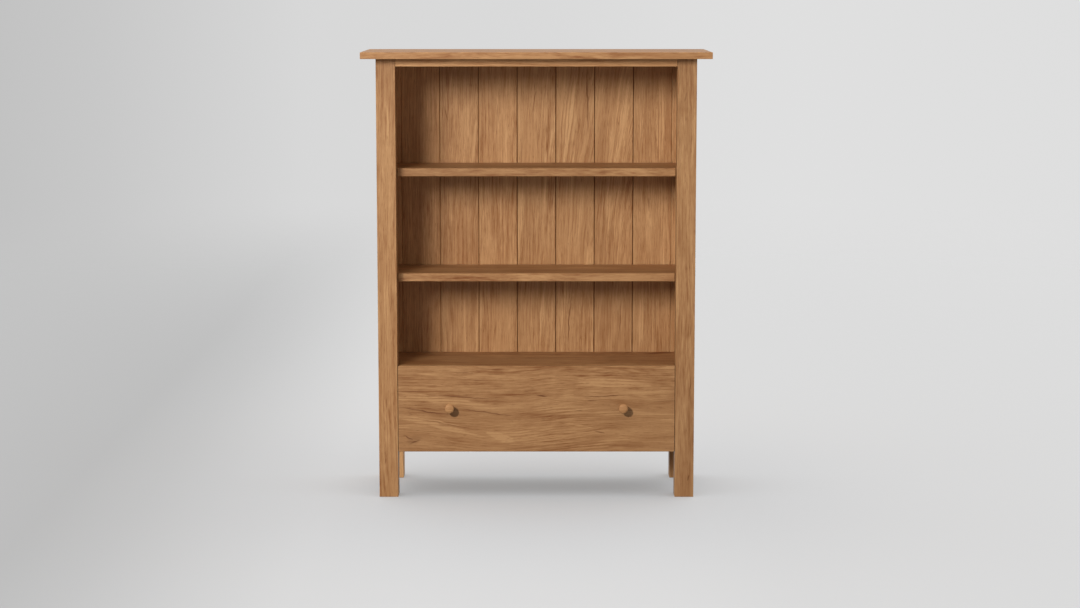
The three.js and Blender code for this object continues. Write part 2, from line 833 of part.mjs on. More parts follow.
function drawer() {
  const group = new THREE.Group();
  group.add(piece("drawer_front", drawerFront(), wood.level));
  group.add(piece("drawer_box_front", boxFrontBoard(), wood.box));
  group.add(piece("drawer_box_back", pinBoard(boxEnds.back), wood.box));
  group.add(piece("drawer_bottom", boxBottomPanel(), wood.box));
  sides.forEach(({ word, sign }, index) => {
    const x = knobX[index];
    const tip = -glueGap - knobScrewGrip;
    const knobScrew = screw(x, knobLevel, tip, knobScrewRadius, knobScrewHeadRadius, knobScrewHeadHeight);
    group.add(piece("drawer_" + word + "_side", boxSide(sign), wood.box));
    group.add(piece(word + "_knob", knob(x), wood.upright));
    group.add(piece(word + "_knob_screw", knobScrew, steel));
    group.add(piece(word + "_slide_drawer_channel", drawerChannel(sign), steel));
  });
  for (const { name, x, z } of frontScrewPlaces) {
    const tip = boxFront - frontScrewGrip;
    const driven = screw(x, z, tip, frontScrewRadius, frontScrewHeadRadius, frontScrewHeadHeight);
    group.add(piece("front_screw_" + name, driven, steel));
  }
  return group;
}

function slides() {
  const group = new THREE.Group();
  for (const { word, sign } of sides) {
    const outerCage = ballCage(sign, outerCageWeb, slideHeight / 2, flangeReach);
    const innerCage = ballCage(sign, innerCageWeb, middleHalf, middleReach);
    group.add(piece(word + "_slide_cabinet_channel", cabinetChannel(sign), steel));
    group.add(piece(word + "_slide_middle_channel", middleChannel(sign), steel));
    group.add(piece(word + "_slide_outer_cage", outerCage, cageSteel));
    group.add(piece(word + "_slide_inner_cage", innerCage, cageSteel));
  }
  return group;
}

const bookcase = new THREE.Group();
bookcase.add(carcass(), shelves(), drawer(), slides());
bookcase.position.y = (topFrontOverhang - caseDepth) / 2;

export default bookcase;
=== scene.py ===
"""The looks of a free-standing timber bookcase with one wide drawer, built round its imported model."""

from __future__ import annotations

import json
import logging
import math
from dataclasses import dataclass, field, replace
from enum import Enum

import bmesh
import bpy
from mathutils import Matrix, Vector

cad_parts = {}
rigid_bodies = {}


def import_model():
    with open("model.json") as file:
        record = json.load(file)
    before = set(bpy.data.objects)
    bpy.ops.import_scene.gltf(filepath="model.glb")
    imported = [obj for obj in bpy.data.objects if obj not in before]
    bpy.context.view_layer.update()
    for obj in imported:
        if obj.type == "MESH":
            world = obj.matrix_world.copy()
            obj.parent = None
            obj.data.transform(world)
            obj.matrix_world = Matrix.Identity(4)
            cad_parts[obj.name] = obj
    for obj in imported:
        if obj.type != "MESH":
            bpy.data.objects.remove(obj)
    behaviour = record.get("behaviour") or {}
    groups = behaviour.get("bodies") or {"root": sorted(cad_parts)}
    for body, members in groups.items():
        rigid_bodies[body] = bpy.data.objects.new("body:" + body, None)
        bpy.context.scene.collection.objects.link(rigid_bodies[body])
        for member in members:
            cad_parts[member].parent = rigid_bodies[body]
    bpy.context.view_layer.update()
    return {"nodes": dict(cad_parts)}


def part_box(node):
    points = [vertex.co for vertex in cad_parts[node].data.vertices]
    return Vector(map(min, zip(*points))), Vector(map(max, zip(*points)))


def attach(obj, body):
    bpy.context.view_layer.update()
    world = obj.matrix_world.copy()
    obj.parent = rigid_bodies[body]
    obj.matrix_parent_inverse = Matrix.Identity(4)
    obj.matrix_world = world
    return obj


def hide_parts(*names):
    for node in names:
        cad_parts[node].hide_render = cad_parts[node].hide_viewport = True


log = logging.getLogger("bookcase")


class Grain(Enum):
    """The way a board's grain runs, as the order of axes: along the grain, across the face, through it."""

    UPRIGHT = (2, 0, 1)
    UPRIGHT_SIDE = (2, 1, 0)
    LEVEL = (0, 1, 2)
    LEVEL_FRONT = (0, 2, 1)
    DEEP_SIDE = (1, 2, 0)


class Body(Enum):
    """The moving bodies that new pieces ride on."""

    CABINET = "cabinet"
    DRAWER = "drawer"
    LEFT_OUTER_CAGE = "left_slide_outer_cage"
    LEFT_INNER_CAGE = "left_slide_inner_cage"
    RIGHT_OUTER_CAGE = "right_slide_outer_cage"
    RIGHT_INNER_CAGE = "right_slide_inner_cage"


class Slot(Enum):
    """The record's material slots."""

    CASE_WOOD = "case_wood"
    STEEL = "slide_steel"
    SCREW = "zinc_screw"
    BRASS = "shelf_pin_brass"


def linear(red: float, green: float, blue: float) -> tuple[float, float, float, float]:
    """Turns a screen colour into a linear one.

    Args:
        red: Red, from 0 to 255.
        green: Green, from 0 to 255.
        blue: Blue, from 0 to 255.

    Returns:
        The linear colour with an alpha of 1.
    """
    def channel(value: float) -> float:
        """One channel of the conversion."""
        share = value / 255
        return share / 12.92 if share <= 0.04045 else ((share + 0.055) / 1.055) ** 2.4

    return (channel(red), channel(green), channel(blue), 1.0)


class Repeat(Enum):
    """How often each pattern in the timber repeats for each metre, along the grain and across it."""

    SWAY = (1.7, 5.0)
    WANDER = (8.0, 26.0)
    LIVELY = (3.0, 9.0)
    CLOUD = (4.0, 15.0)
    WIDE = (2.6, 40.0)
    PATCH = (3.0, 34.0)
    STRAND = (5.0, 125.0)
    HAIR = (13.0, 300.0)
    THREAD = (26.0, 620.0)
    FIBRE = (22.0, 760.0)
    STREAK = (2.0, 85.0)
    DASH = (13.0, 330.0)
    PORE = (60.0, 1300.0)
    RUB = (30.0, 60.0)
    WAVER = (12.0, 16.0)


class Graph:
    """Adds nodes to a shader tree. Each method returns the new node's output."""

    def __init__(self, tree: bpy.types.NodeTree) -> None:
        """Starts on a tree.

        Args:
            tree: The tree that the nodes go into.
        """
        self.tree = tree

    def _feed(self, socket: bpy.types.NodeSocket, value: object) -> None:
        """Links a socket to an output, or sets it to a constant."""
        if isinstance(value, bpy.types.NodeSocket):
            self.tree.links.new(value, socket)
        elif value is not None:
            socket.default_value = value

    def math(self, operation: str, a: object, b: object = None, c: object = None) -> bpy.types.NodeSocket:
        """A Math node.

        Args:
            operation: The node's operation.
            a: The first value or output.
            b: The second one, where the operation has it.
            c: The third one, where the operation has it.

        Returns:
            The result.
        """
        node = self.tree.nodes.new("ShaderNodeMath")
        node.operation = operation
        for socket, value in zip(node.inputs, (a, b, c)):
            self._feed(socket, value)
        return node.outputs[0]

    def vector(self, operation: str, a: object, b: object = None) -> bpy.types.NodeSocket:
        """A Vector Math node.

        Args:
            operation: The node's operation.
            a: The first vector or output.
            b: The second one.

        Returns:
            The vector, or the value for operations that give one.
        """
        node = self.tree.nodes.new("ShaderNodeVectorMath")
        node.operation = operation
        self._feed(node.inputs[0], a)
        self._feed(node.inputs[1], b)
        gives_value = operation in ("LENGTH", "DOT_PRODUCT", "DISTANCE")
        return node.outputs["Value"] if gives_value else node.outputs["Vector"]

    def split(self, vector: object) -> list[bpy.types.NodeSocket]:
        """Separates a vector into its three parts."""
        node = self.tree.nodes.new("ShaderNodeSeparateXYZ")
        self._feed(node.inputs[0], vector)
        return list(node.outputs)

    def join(self, x: object, y: object, z: object) -> bpy.types.NodeSocket:
        """Combines three values into a vector."""
        node = self.tree.nodes.new("ShaderNodeCombineXYZ")
        for socket, value in zip(node.inputs, (x, y, z)):
            self._feed(socket, value)
        return node.outputs[0]

    def noise(
        self, place: object, detail: float = 2.0, roughness: float = 0.5, colour: bool = False
    ) -> bpy.types.NodeSocket:
        """A noise texture at a scale of 1, so that place sets its scale.

        Args:
            place: Where the noise is read.
            detail: The noise's octaves.
            roughness: How strong the finer octaves are.
            colour: Whether three separate values are wanted.

        Returns:
            The noise, or three of them as a colour.
        """
        node = self.tree.nodes.new("ShaderNodeTexNoise")
        self._feed(node.inputs["Vector"], place)
        node.inputs["Scale"].default_value = 1.0
        node.inputs["Detail"].default_value = detail
        node.inputs["Roughness"].default_value = roughness
        return node.outputs[1 if colour else 0]

    def stretch(self, place: object, repeat: Repeat) -> bpy.types.NodeSocket:
        """Scales a place on a board.

        Args:
            place: The place, with the grain along X.
            repeat: How often the pattern that is read there repeats.

        Returns:
            The scaled place.
        """
        along, across = repeat.value
        return self.vector("MULTIPLY", place, (along, across, across))

    def centred(self, value: object, weight: float, onto: object) -> bpy.types.NodeSocket:
        """Adds a noise to a value so that its middle level changes nothing.

        Args:
            value: The noise, from 0 to 1.
            weight: How much a full swing of the noise adds.
            onto: The value that it is added to.

        Returns:
            The sum.
        """
        return self.math("MULTIPLY_ADD", self.math("SUBTRACT", value, 0.5), weight, onto)

    def ramp(self, factor: object, stops: list[tuple[float, float]]) -> bpy.types.NodeSocket:
        """A grey ramp.

        Args:
            factor: The value that is looked up.
            stops: Pairs of a position and a grey level.

        Returns:
            The level.
        """
        node = self.tree.nodes.new("ShaderNodeValToRGB")
        elements = node.color_ramp.elements
        while len(elements) < len(stops):
            elements.new(0.5)
        for element, (position, level) in zip(elements, stops):
            element.position = position
            element.color = (level, level, level, 1.0)
        self._feed(node.inputs[0], factor)
        return node.outputs[0]

    def between(
        self, value: object, low: float, high: float, start: float = 0.0, end: float = 1.0
    ) -> bpy.types.NodeSocket:
        """Maps a value smoothly from one range to another, and holds it at the ends.

        Args:
            value: The value.
            low: Where the result is start.
            high: Where the result is end.
            start: The result at low.
            end: The result at high.

        Returns:
            The mapped value.
        """
        node = self.tree.nodes.new("ShaderNodeMapRange")
        node.interpolation_type = "SMOOTHSTEP"
        for socket, number in zip(node.inputs, (value, low, high, start, end)):
            self._feed(socket, number)
        return node.outputs[0]

    def mix(self, factor: object, a: object, b: object) -> bpy.types.NodeSocket:
        """Mixes two colours.

        Args:
            factor: How much of b is used.
            a: The first colour.
            b: The second colour.

        Returns:
            The colour.
        """
        node = self.tree.nodes.new("ShaderNodeMix")
        node.data_type = "RGBA"
        factor_in, a_in, b_in, colour_out = 0, 6, 7, 2
        for index, value in ((factor_in, factor), (a_in, a), (b_in, b)):
            self._feed(node.inputs[index], value)
        return node.outputs[colour_out]

    def bump(self, height: object, strength: float, distance: float) -> bpy.types.NodeSocket:
        """A bumped normal.

        Args:
            height: The height, from 0 to 1.
            strength: How strong the bump is.
            distance: The height of 1, in metres.

        Returns:
            The normal.
        """
        node = self.tree.nodes.new("ShaderNodeBump")
        node.inputs["Strength"].default_value = strength
        node.inputs["Distance"].default_value = distance
        self._feed(node.inputs["Height"], height)
        return node.outputs[0]


class Shade(Enum):
    """Whether a mark is darker or paler than the wood round it."""

    DARK = "Dark"
    PALE = "Pale"


@dataclass(frozen=True)
class Mark:
    """One long mark on a board: most are marks in the grain, some broad ones are painted shade and painted
    light, and others are plain darker or paler patches.

    Attributes:
        shade: Whether it is dark or pale.
        along: Where its middle lies along the grain, from the board's middle.
        across: Where its middle lies across the face.
        length: Half its length.
        width: Half its width.
        slope: How far it leans across the face for each metre of grain.
        strength: How strongly it shows, from 0 to 1.
    """

    shade: Shade
    along: float
    across: float
    length: float
    width: float
    slope: float = 0.0
    strength: float = 1.0


@dataclass(frozen=True)
class Bend:
    """A place that the grain flows round.

    Attributes:
        along: Where it lies along the grain, from the board's middle.
        across: Where it lies across the face.
        length: How far it reaches along the grain.
        width: How far it reaches across the face.
        push: How far the grain is pushed aside there.
    """

    along: float
    across: float
    length: float
    width: float
    push: float


@dataclass(frozen=True)
class Cut:
    """How one board was cut from its log, and how it took the stain.

    Attributes:
        seed: Moves the board to another place in the log.
        pith: The middle of the log from the board's middle, across the face and through it, in metres.
        lean: How far the log's middle moves through the face over each metre of grain.
        tone: How light the board is, with 1 for the finish as it is.
        warmth: How much redder than the finish the board is.
        figure: How strongly the grain shows, with 1 for the finish as it is.
        sway: How much the grain wanders, with 1 for a middling board.
        bends: Places that the grain flows round.
        marks: Long dark and pale marks.
        joint: How much stain has settled along its long edges.
    """

    seed: int
    pith: tuple[float, float] = (0.05, 0.09)
    lean: float = 0.04
    tone: float = 1.0
    warmth: float = 0.0
    figure: float = 1.0
    sway: float = 1.0
    bends: tuple[Bend, ...] = ()
    marks: tuple[Mark, ...] = ()
    joint: float = 0.0

    def tint(self) -> tuple[float, float, float]:
        """The board's tone and warmth as what its colour is multiplied by."""
        return (self.tone, self.tone * (1 - 0.055 * self.warmth), self.tone * (1 - 0.105 * self.warmth))


TIMBER_INPUTS = {
    "Place": "NodeSocketVector", "Half": "NodeSocketVector", "Seed": "NodeSocketVector",
    "Pith": "NodeSocketVector", "Tint": "NodeSocketVector", "Figure": "NodeSocketFloat",
    "Sway": "NodeSocketFloat", "End": "NodeSocketFloat", "Bend": "NodeSocketFloat",
    "Dark": "NodeSocketFloat", "Pale": "NodeSocketFloat", "Joint": "NodeSocketFloat",
}
TIMBER_OUTPUTS = {"Colour": "NodeSocketColor", "Roughness": "NodeSocketFloat", "Normal": "NodeSocketVector"}
SEED_STEPS = (1.37, 0.73, 0.41)
MARK_WAVER = (0.05, 0.016, 0.0)
RUBBED_WIDTH = 0.0026
STAINED_WIDTH = 0.0019
JOINT_HALF = 0.0003


@dataclass(frozen=True)
class Timber:
    """A stained or clear timber finish with rings, flame figure, fibres, pores, streaks and rubbed edges.

    Attributes:
        name: The finish's name.
        pale: The earlywood's screen colour.
        dark: The latewood's screen colour.
        mark: The screen colour of mineral streaks, pores and dark marks, among them painted shade.
        stain: The screen colour of stain that has settled in joints and end grain.
        ring: The rings' spacing, in metres.
        contrast: How strongly the figure shows.
        roughness: The surface's roughness.
        coat: How much lacquer lies on it.
        level: Where plain wood lies between the pale colour and the dark one.
    """

    name: str
    pale: tuple[float, float, float]
    dark: tuple[float, float, float]
    mark: tuple[float, float, float]
    stain: tuple[float, float, float]
    ring: float
    contrast: float
    roughness: float
    coat: float
    level: float = 0.42

    def _group(self) -> bpy.types.NodeTree:
        """Builds the finish's node group once, and gives it back after that."""
        found = bpy.data.node_groups.get(self.name)
        if found:
            return found
        tree = bpy.data.node_groups.new(self.name, "ShaderNodeTree")
        for title, kind in TIMBER_INPUTS.items():
            tree.interface.new_socket(name=title, in_out="INPUT", socket_type=kind)
        for title, kind in TIMBER_OUTPUTS.items():
            tree.interface.new_socket(name=title, in_out="OUTPUT", socket_type=kind)
        graph = Graph(tree)
        given = tree.nodes.new("NodeGroupInput").outputs
        place, half, seed, pith, tint, figure, sway, end, bend, dark, pale, joint = (
            given[title] for title in TIMBER_INPUTS
        )
        log_place = graph.vector("ADD", place, seed)

        # Noises that lie still in the log.
        fibre = graph.noise(graph.stretch(log_place, Repeat.FIBRE), 2.0, 0.6)
        cloud = graph.noise(graph.stretch(log_place, Repeat.CLOUD), 3.0, 0.55)
        swaying = graph.noise(graph.stretch(log_place, Repeat.SWAY), 2.0, 0.5, colour=True)
        sway_x, sway_y, sway_z = graph.split(swaying)
        wandering = graph.noise(graph.stretch(log_place, Repeat.WANDER), 2.0, 0.5, colour=True)
        wander_x, wander_y, _ = graph.split(wandering)
        lively = graph.noise(graph.stretch(log_place, Repeat.LIVELY), 1.0)
        lively = graph.between(lively, 0.36, 0.64, 0.55, 1.4)

        # The distance from the log's middle, which the grain keeps.
        along, across, through = graph.split(place)
        pith_across, pith_through, lean = graph.split(pith)
        ring_y = graph.math("SUBTRACT", across, pith_across)
        ring_y = graph.centred(sway_y, graph.math("MULTIPLY", sway, 0.026), ring_y)
        ring_z = graph.math("SUBTRACT", through, pith_through)
        ring_z = graph.math("MULTIPLY_ADD", along, lean, ring_z)
        ring_z = graph.centred(sway_z, graph.math("MULTIPLY", sway, 0.034), ring_z)
        radius = graph.vector("LENGTH", graph.join(ring_y, ring_z, 0.0))
        radius = graph.centred(wander_y, 0.006, radius)
        radius = graph.math("ADD", radius, bend)
        flow = graph.join(graph.split(log_place)[0], radius, graph.math("MULTIPLY", through, 0.2))

        # Noises that follow the grain, and the latewood of each ring.
        wide = graph.noise(graph.stretch(flow, Repeat.WIDE), 2.0, 0.5)
        strand = graph.noise(graph.stretch(flow, Repeat.STRAND), 2.0, 0.55)
        hair = graph.noise(graph.stretch(flow, Repeat.HAIR), 2.0, 0.6)
        thread = graph.noise(graph.stretch(flow, Repeat.THREAD), 2.0, 0.65)
        rings = graph.math("MULTIPLY_ADD", wide, 3.2, graph.math("DIVIDE", radius, self.ring))
        rings = graph.math("MULTIPLY_ADD", strand, 0.9, rings)
        late = graph.ramp(graph.math("FRACT", rings), [(0.0, 0.0), (0.45, 0.15), (0.86, 1.0), (1.0, 0.0)])

        # Pale flame, in patches and in the listed pale marks, some of which are painted light.
        patch = graph.vector("ADD", graph.stretch(flow, Repeat.PATCH), graph.join(wander_x, 0.0, 0.0))
        flame = graph.between(graph.noise(patch, 1.0), 0.54, 0.7, 0.0, 0.45)
        marked_pale = graph.math("MULTIPLY", pale, graph.between(strand, 0.34, 0.52, 0.45, 1.35))
        flame = graph.math("MAXIMUM", flame, marked_pale)
        ripple = graph.math("MULTIPLY_ADD", wander_x, 9.0, graph.math("MULTIPLY", radius, 820.0))
        ripple = graph.math("MULTIPLY_ADD", graph.math("SINE", ripple), 0.42, 0.62)
        flame = graph.math("MULTIPLY", flame, ripple)

        # How dark the wood is, from all of these together.
        fine = graph.centred(hair, 1.1, graph.centred(thread, 1.9, 0.0))
        ringed = graph.between(cloud, 0.38, 0.66, 0.04, 0.6)
        swing = graph.math("MULTIPLY", graph.math("SUBTRACT", late, 0.3), ringed)
        swing = graph.math("ADD", swing, graph.math("MULTIPLY", fine, lively))
        swing = graph.math("MULTIPLY_ADD", flame, -1.5, swing)
        for noise, weight in ((wide, 1.2), (cloud, 1.1), (strand, 0.6), (fibre, 1.2)):
            swing = graph.centred(noise, weight, swing)
        strength = graph.math("MULTIPLY", figure, self.contrast)
        darkness = graph.math("MULTIPLY_ADD", swing, strength, self.level)
        colour = graph.mix(darkness, linear(*self.pale), linear(*self.dark))

        # Streaks, pores, short dashes and the listed dark marks, some of which are painted shade.
        streak = graph.noise(graph.stretch(flow, Repeat.STREAK), 2.0, 0.55)
        streak = graph.between(streak, 0.66, 0.78, 0.0, 0.35)
        pore = graph.between(graph.noise(graph.stretch(log_place, Repeat.PORE), 1.0), 0.58, 0.7)
        pore = graph.math("MULTIPLY", pore, graph.between(late, 0.2, 0.8, 0.22, 0.6))
        dash = graph.between(graph.noise(graph.stretch(flow, Repeat.DASH), 1.0), 0.68, 0.8)
        dash = graph.math("MULTIPLY", dash, graph.between(cloud, 0.42, 0.6, 0.1, 0.5))
        marked_dark = graph.math("MULTIPLY", dark, graph.between(hair, 0.3, 0.6, 0.55, 1.0))
        marked = graph.math("MAXIMUM", streak, pore)
        marked = graph.math("MAXIMUM", marked, dash)
        marked = graph.math("MAXIMUM", marked, marked_dark)
        colour = graph.mix(marked, colour, linear(*self.mark))

        # Rubbed edges, and stain that has settled in the joints and in end grain.
        reach = [
            graph.math("SUBTRACT", side, graph.math("ABSOLUTE", offset))
            for side, offset in zip(graph.split(half), graph.split(place))
        ]
        nearest = graph.math("MINIMUM", reach[0], reach[1])
        farther = graph.math("MAXIMUM", reach[0], reach[1])
        to_edge = graph.math("MAXIMUM", nearest, graph.math("MINIMUM", farther, reach[2]))
        rub = graph.between(graph.noise(graph.stretch(log_place, Repeat.RUB), 2.0), 0.35, 0.65, 0.2, 1.0)
        worn = graph.math("MULTIPLY", graph.between(to_edge, 0.0, RUBBED_WIDTH, 0.35, 0.0), rub)
        worn = graph.math("MULTIPLY", worn, graph.math("SUBTRACT", 1.0, joint))
        colour = graph.mix(worn, colour, linear(*self.pale))
        settled = graph.between(reach[1], JOINT_HALF, STAINED_WIDTH, 0.85, 0.0)
        colour = graph.mix(graph.math("MULTIPLY", settled, joint), colour, linear(*self.stain))
        colour = graph.mix(graph.math("MULTIPLY", end, 0.45), colour, linear(*self.stain))

        # The board's own tone, and its surface.
        shade = graph.centred(sway_x, 0.16, 1.0)
        colour = graph.vector("MULTIPLY", colour, graph.join(shade, shade, shade))
        colour = graph.vector("MULTIPLY", colour, tint)
        rough = graph.centred(fibre, 0.18, self.roughness)
        rough = graph.math("MULTIPLY_ADD", marked, 0.12, rough)
        height = graph.math("MULTIPLY_ADD", fibre, 0.5, graph.math("MULTIPLY", late, 0.25))
        height = graph.math("MULTIPLY_ADD", pore, -0.6, height)
        normal = graph.bump(height, 0.35, 0.00025)
        out = tree.nodes.new("NodeGroupOutput")
        for socket, value in zip(out.inputs, (colour, rough, normal)):
            tree.links.new(value, socket)
        return tree

    def dress(self, piece: bpy.types.Object, low: Vector, high: Vector, grain: Grain, cut: Cut) -> None:
        """Gives one board its own cut of this finish.

        Args:
            piece: The board's object.
            low: The board's lowest corner.
            high: The board's highest corner.
            grain: The way that the grain runs.
            cut: How the board was cut.
        """
        material = bpy.data.materials.new(f"{self.name}_{piece.name}")
        material.use_nodes = True
        tree = material.node_tree
        tree.nodes.clear()
        graph = Graph(tree)
        where = tree.nodes.new("ShaderNodeTexCoord")
        centre, half = (low + high) / 2, (high - low) / 2
        parts = graph.split(graph.vector("SUBTRACT", where.outputs["Object"], tuple(centre)))
        place = graph.join(*(parts[axis] for axis in grain.value))
        facing = graph.split(where.outputs["Normal"])[grain.value[0]]
        finish = tree.nodes.new("ShaderNodeGroup")
        finish.node_tree = self._group()
        tree.links.new(place, finish.inputs["Place"])
        finish.inputs["Half"].default_value = [half[axis] for axis in grain.value]
        finish.inputs["Seed"].default_value = [cut.seed * step for step in SEED_STEPS]
        finish.inputs["Pith"].default_value = (*cut.pith, cut.lean)
        finish.inputs["Tint"].default_value = cut.tint()
        finish.inputs["Figure"].default_value = cut.figure
        finish.inputs["Joint"].default_value = cut.joint
        tree.links.new(graph.between(graph.math("ABSOLUTE", facing), 0.6, 0.9), finish.inputs["End"])
        finish.inputs["Sway"].default_value = cut.sway
        if cut.bends:
            tree.links.new(self._bends(graph, place, cut), finish.inputs["Bend"])
        if cut.marks:
            self._marks(graph, place, cut, finish)
        surface = tree.nodes.new("ShaderNodeBsdfPrincipled")
        surface.inputs["Coat Weight"].default_value = self.coat
        surface.inputs["Coat Roughness"].default_value = 0.3
        surface.inputs["IOR"].default_value = 1.33
        for title, result in (("Base Color", "Colour"), ("Roughness", "Roughness"), ("Normal", "Normal")):
            tree.links.new(finish.outputs[result], surface.inputs[title])
        out = tree.nodes.new("ShaderNodeOutputMaterial")
        tree.links.new(surface.outputs[0], out.inputs["Surface"])
        piece.data.materials.clear()
        piece.data.materials.append(material)

    def _bends(self, graph: Graph, place: bpy.types.NodeSocket, cut: Cut) -> bpy.types.NodeSocket:
        """How far the grain is pushed aside at each point of a board.

        Args:
            graph: The board's tree.
            place: The place on the board.
            cut: The board's cut, which lists its bends.

        Returns:
            The distance.
        """
        along, across, _ = graph.split(place)
        total: object = 0.0
        for bend in cut.bends:
            run = graph.math("DIVIDE", graph.math("SUBTRACT", along, bend.along), bend.length)
            aside = graph.math("DIVIDE", graph.math("SUBTRACT", across, bend.across), bend.width)
            far = graph.vector("LENGTH", graph.join(run, aside, 0.0))
            push = graph.math("DIVIDE", bend.push, graph.math("MULTIPLY_ADD", far, far, 1.0))
            total = graph.math("ADD", push, total)
        return total

    def _marks(
        self, graph: Graph, place: bpy.types.NodeSocket, cut: Cut, finish: bpy.types.ShaderNode
    ) -> None:
        """Draws a board's marks, each a long soft ellipse whose outline wavers.

        Args:
            graph: The board's tree.
            place: The place on the board.
            cut: The board's cut, which lists its marks.
            finish: The finish's node, which the marks go into.
        """
        waver = graph.vector("ADD", place, (cut.seed * 0.7, 0.0, 0.0))
        waver = graph.noise(graph.stretch(waver, Repeat.WAVER), 3.0, 0.6, colour=True)
        waver = graph.vector("SUBTRACT", waver, (0.5, 0.5, 0.5))
        place = graph.vector("ADD", place, graph.vector("MULTIPLY", waver, MARK_WAVER))
        along, across, _ = graph.split(place)
        for shade in Shade:
            total: object = 0.0
            for mark in (mark for mark in cut.marks if mark.shade is shade):
                run = graph.math("SUBTRACT", along, mark.along)
                aside = graph.math("SUBTRACT", across, mark.across)
                aside = graph.math("MULTIPLY_ADD", run, -mark.slope, aside)
                run = graph.math("DIVIDE", run, mark.length)
                aside = graph.math("DIVIDE", aside, mark.width)
                far = graph.vector("LENGTH", graph.join(run, aside, 0.0))
                total = graph.math("MAXIMUM", graph.between(far, 0.3, 1.0, mark.strength, 0.0), total)
            graph.tree.links.new(graph.math("ADD", total, 0.0), finish.inputs[shade.value])


@dataclass(frozen=True)
class Metal:
    """A plated or plain metal finish with fine drawing marks and light handling marks.

    Attributes:
        name: The finish's name.
        colour: The metal's screen colour.
        shadow: The screen colour of its duller patches.
        roughness: The surface's roughness.
        drawn: How often the drawing marks repeat along X, Y and Z, for each metre.
    """

    name: str
    colour: tuple[float, float, float]
    shadow: tuple[float, float, float]
    roughness: float
    drawn: tuple[float, float, float] = (900.0, 30.0, 900.0)

    def material(self) -> bpy.types.Material:
        """Builds the material once, and gives it back after that."""
        found = bpy.data.materials.get(self.name)
        if found:
            return found
        material = bpy.data.materials.new(self.name)
        material.use_nodes = True
        tree = material.node_tree
        tree.nodes.clear()
        graph = Graph(tree)
        where = tree.nodes.new("ShaderNodeTexCoord").outputs["Object"]
        patch = graph.noise(graph.vector("MULTIPLY", where, (90.0, 90.0, 90.0)), 3.0, 0.6)
        mark = graph.noise(graph.vector("MULTIPLY", where, self.drawn), 2.0, 0.6)
        surface = tree.nodes.new("ShaderNodeBsdfPrincipled")
        surface.inputs["Metallic"].default_value = 1.0
        colour = graph.mix(graph.between(patch, 0.35, 0.7), linear(*self.colour), linear(*self.shadow))
        rough = graph.math("MULTIPLY_ADD", graph.math("SUBTRACT", mark, 0.5), 0.25, self.roughness)
        rough = graph.math("MULTIPLY_ADD", graph.math("SUBTRACT", patch, 0.5), 0.2, rough)
        tree.links.new(colour, surface.inputs["Base Color"])
        tree.links.new(rough, surface.inputs["Roughness"])
        tree.links.new(graph.bump(mark, 0.2, 0.00005), surface.inputs["Normal"])
        out = tree.nodes.new("ShaderNodeOutputMaterial")
        tree.links.new(surface.outputs[0], out.inputs["Surface"])
        return material

    def dress(self, piece: bpy.types.Object) -> None:
        """Gives a piece this finish."""
        piece.data.materials.clear()
        piece.data.materials.append(self.material())


CASE_TIMBER = Timber(
    name="stained_timber", pale=(193, 147, 99), dark=(125, 71, 25), mark=(100, 50, 10),
    stain=(70, 36, 12), ring=0.011, contrast=0.62, roughness=0.5, coat=0.04,
)
KNOB_TIMBER = replace(CASE_TIMBER, name="rubbed_timber", roughness=0.64, coat=0.0)
BOX_TIMBER = Timber(
    name="pale_box_timber", pale=(214, 180, 134), dark=(170, 130, 84), mark=(140, 97, 54),
    stain=(130, 92, 56), ring=0.008, contrast=0.4, roughness=0.55, coat=0.03,
)
ZINC = Metal("zinc_plated_steel", (196, 199, 203), (168, 172, 177), 0.34)
BRIGHT = Metal("bright_steel", (214, 216, 218), (190, 192, 195), 0.22)
BRASS = Metal("satin_brass", (196, 160, 92), (160, 124, 66), 0.32, (600.0, 900.0, 900.0))

# How near the ends of a turned profile lie to be joined, and the faces round each turned piece.
SEAM = 1e-6
KNOB_STEPS = 32
PIN_STEPS = 20
HEAD_STEPS = 16
SHANK_STEPS = 12
BALL_STEPS = 16
BALL_RINGS = 10

# A screw head's curve and its cross recess, as shares of the head's radius across and its height along.
HEAD_PROFILE = (
    (0.0, 0.0), (1.0, 0.0), (1.0, 0.3), (0.96, 0.55), (0.62, 1.0), (0.3, 1.0), (0.12, 0.35), (0.0, 0.3),
)
RECESS_LEVEL = 0.72
WING_OFFSET = 0.22
WING_WIDTH = 0.26
WING_HEIGHT = 0.5


def new_piece(name: str, mesh: bmesh.types.BMesh, body: Body) -> bpy.types.Object:
    """Turns a bmesh into a piece that rides on a body.

    Args:
        name: The piece's name.
        mesh: Its shape, in place. It is freed.
        body: The body that it rides on.

    Returns:
        The piece.
    """
    for face in mesh.faces:
        face.smooth = True
    data = bpy.data.meshes.new(name)
    mesh.to_mesh(data)
    mesh.free()
    piece = bpy.data.objects.new(name, data)
    bpy.context.scene.collection.objects.link(piece)
    even = piece.modifiers.new("even_shading", "WEIGHTED_NORMAL")
    even.keep_sharp = True
    even.weight = 100
    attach(piece, body.value)
    log.info("made %s on %s", name, body.value)
    return piece


def eased_block(low: Vector, high: Vector, ease: float, segments: int = 3) -> bmesh.types.BMesh:
    """A block with all its edges rounded.

    Args:
        low: The lowest corner.
        high: The highest corner.
        ease: How far the rounding reaches from an edge.
        segments: The faces across a rounded edge.

    Returns:
        The block.
    """
    mesh = bmesh.new()
    place = Matrix.Translation((low + high) / 2) @ Matrix.Diagonal((*(high - low), 1.0))
    bmesh.ops.create_cube(mesh, size=1.0, matrix=place)
    round_edges(mesh, ease, segments)
    return mesh


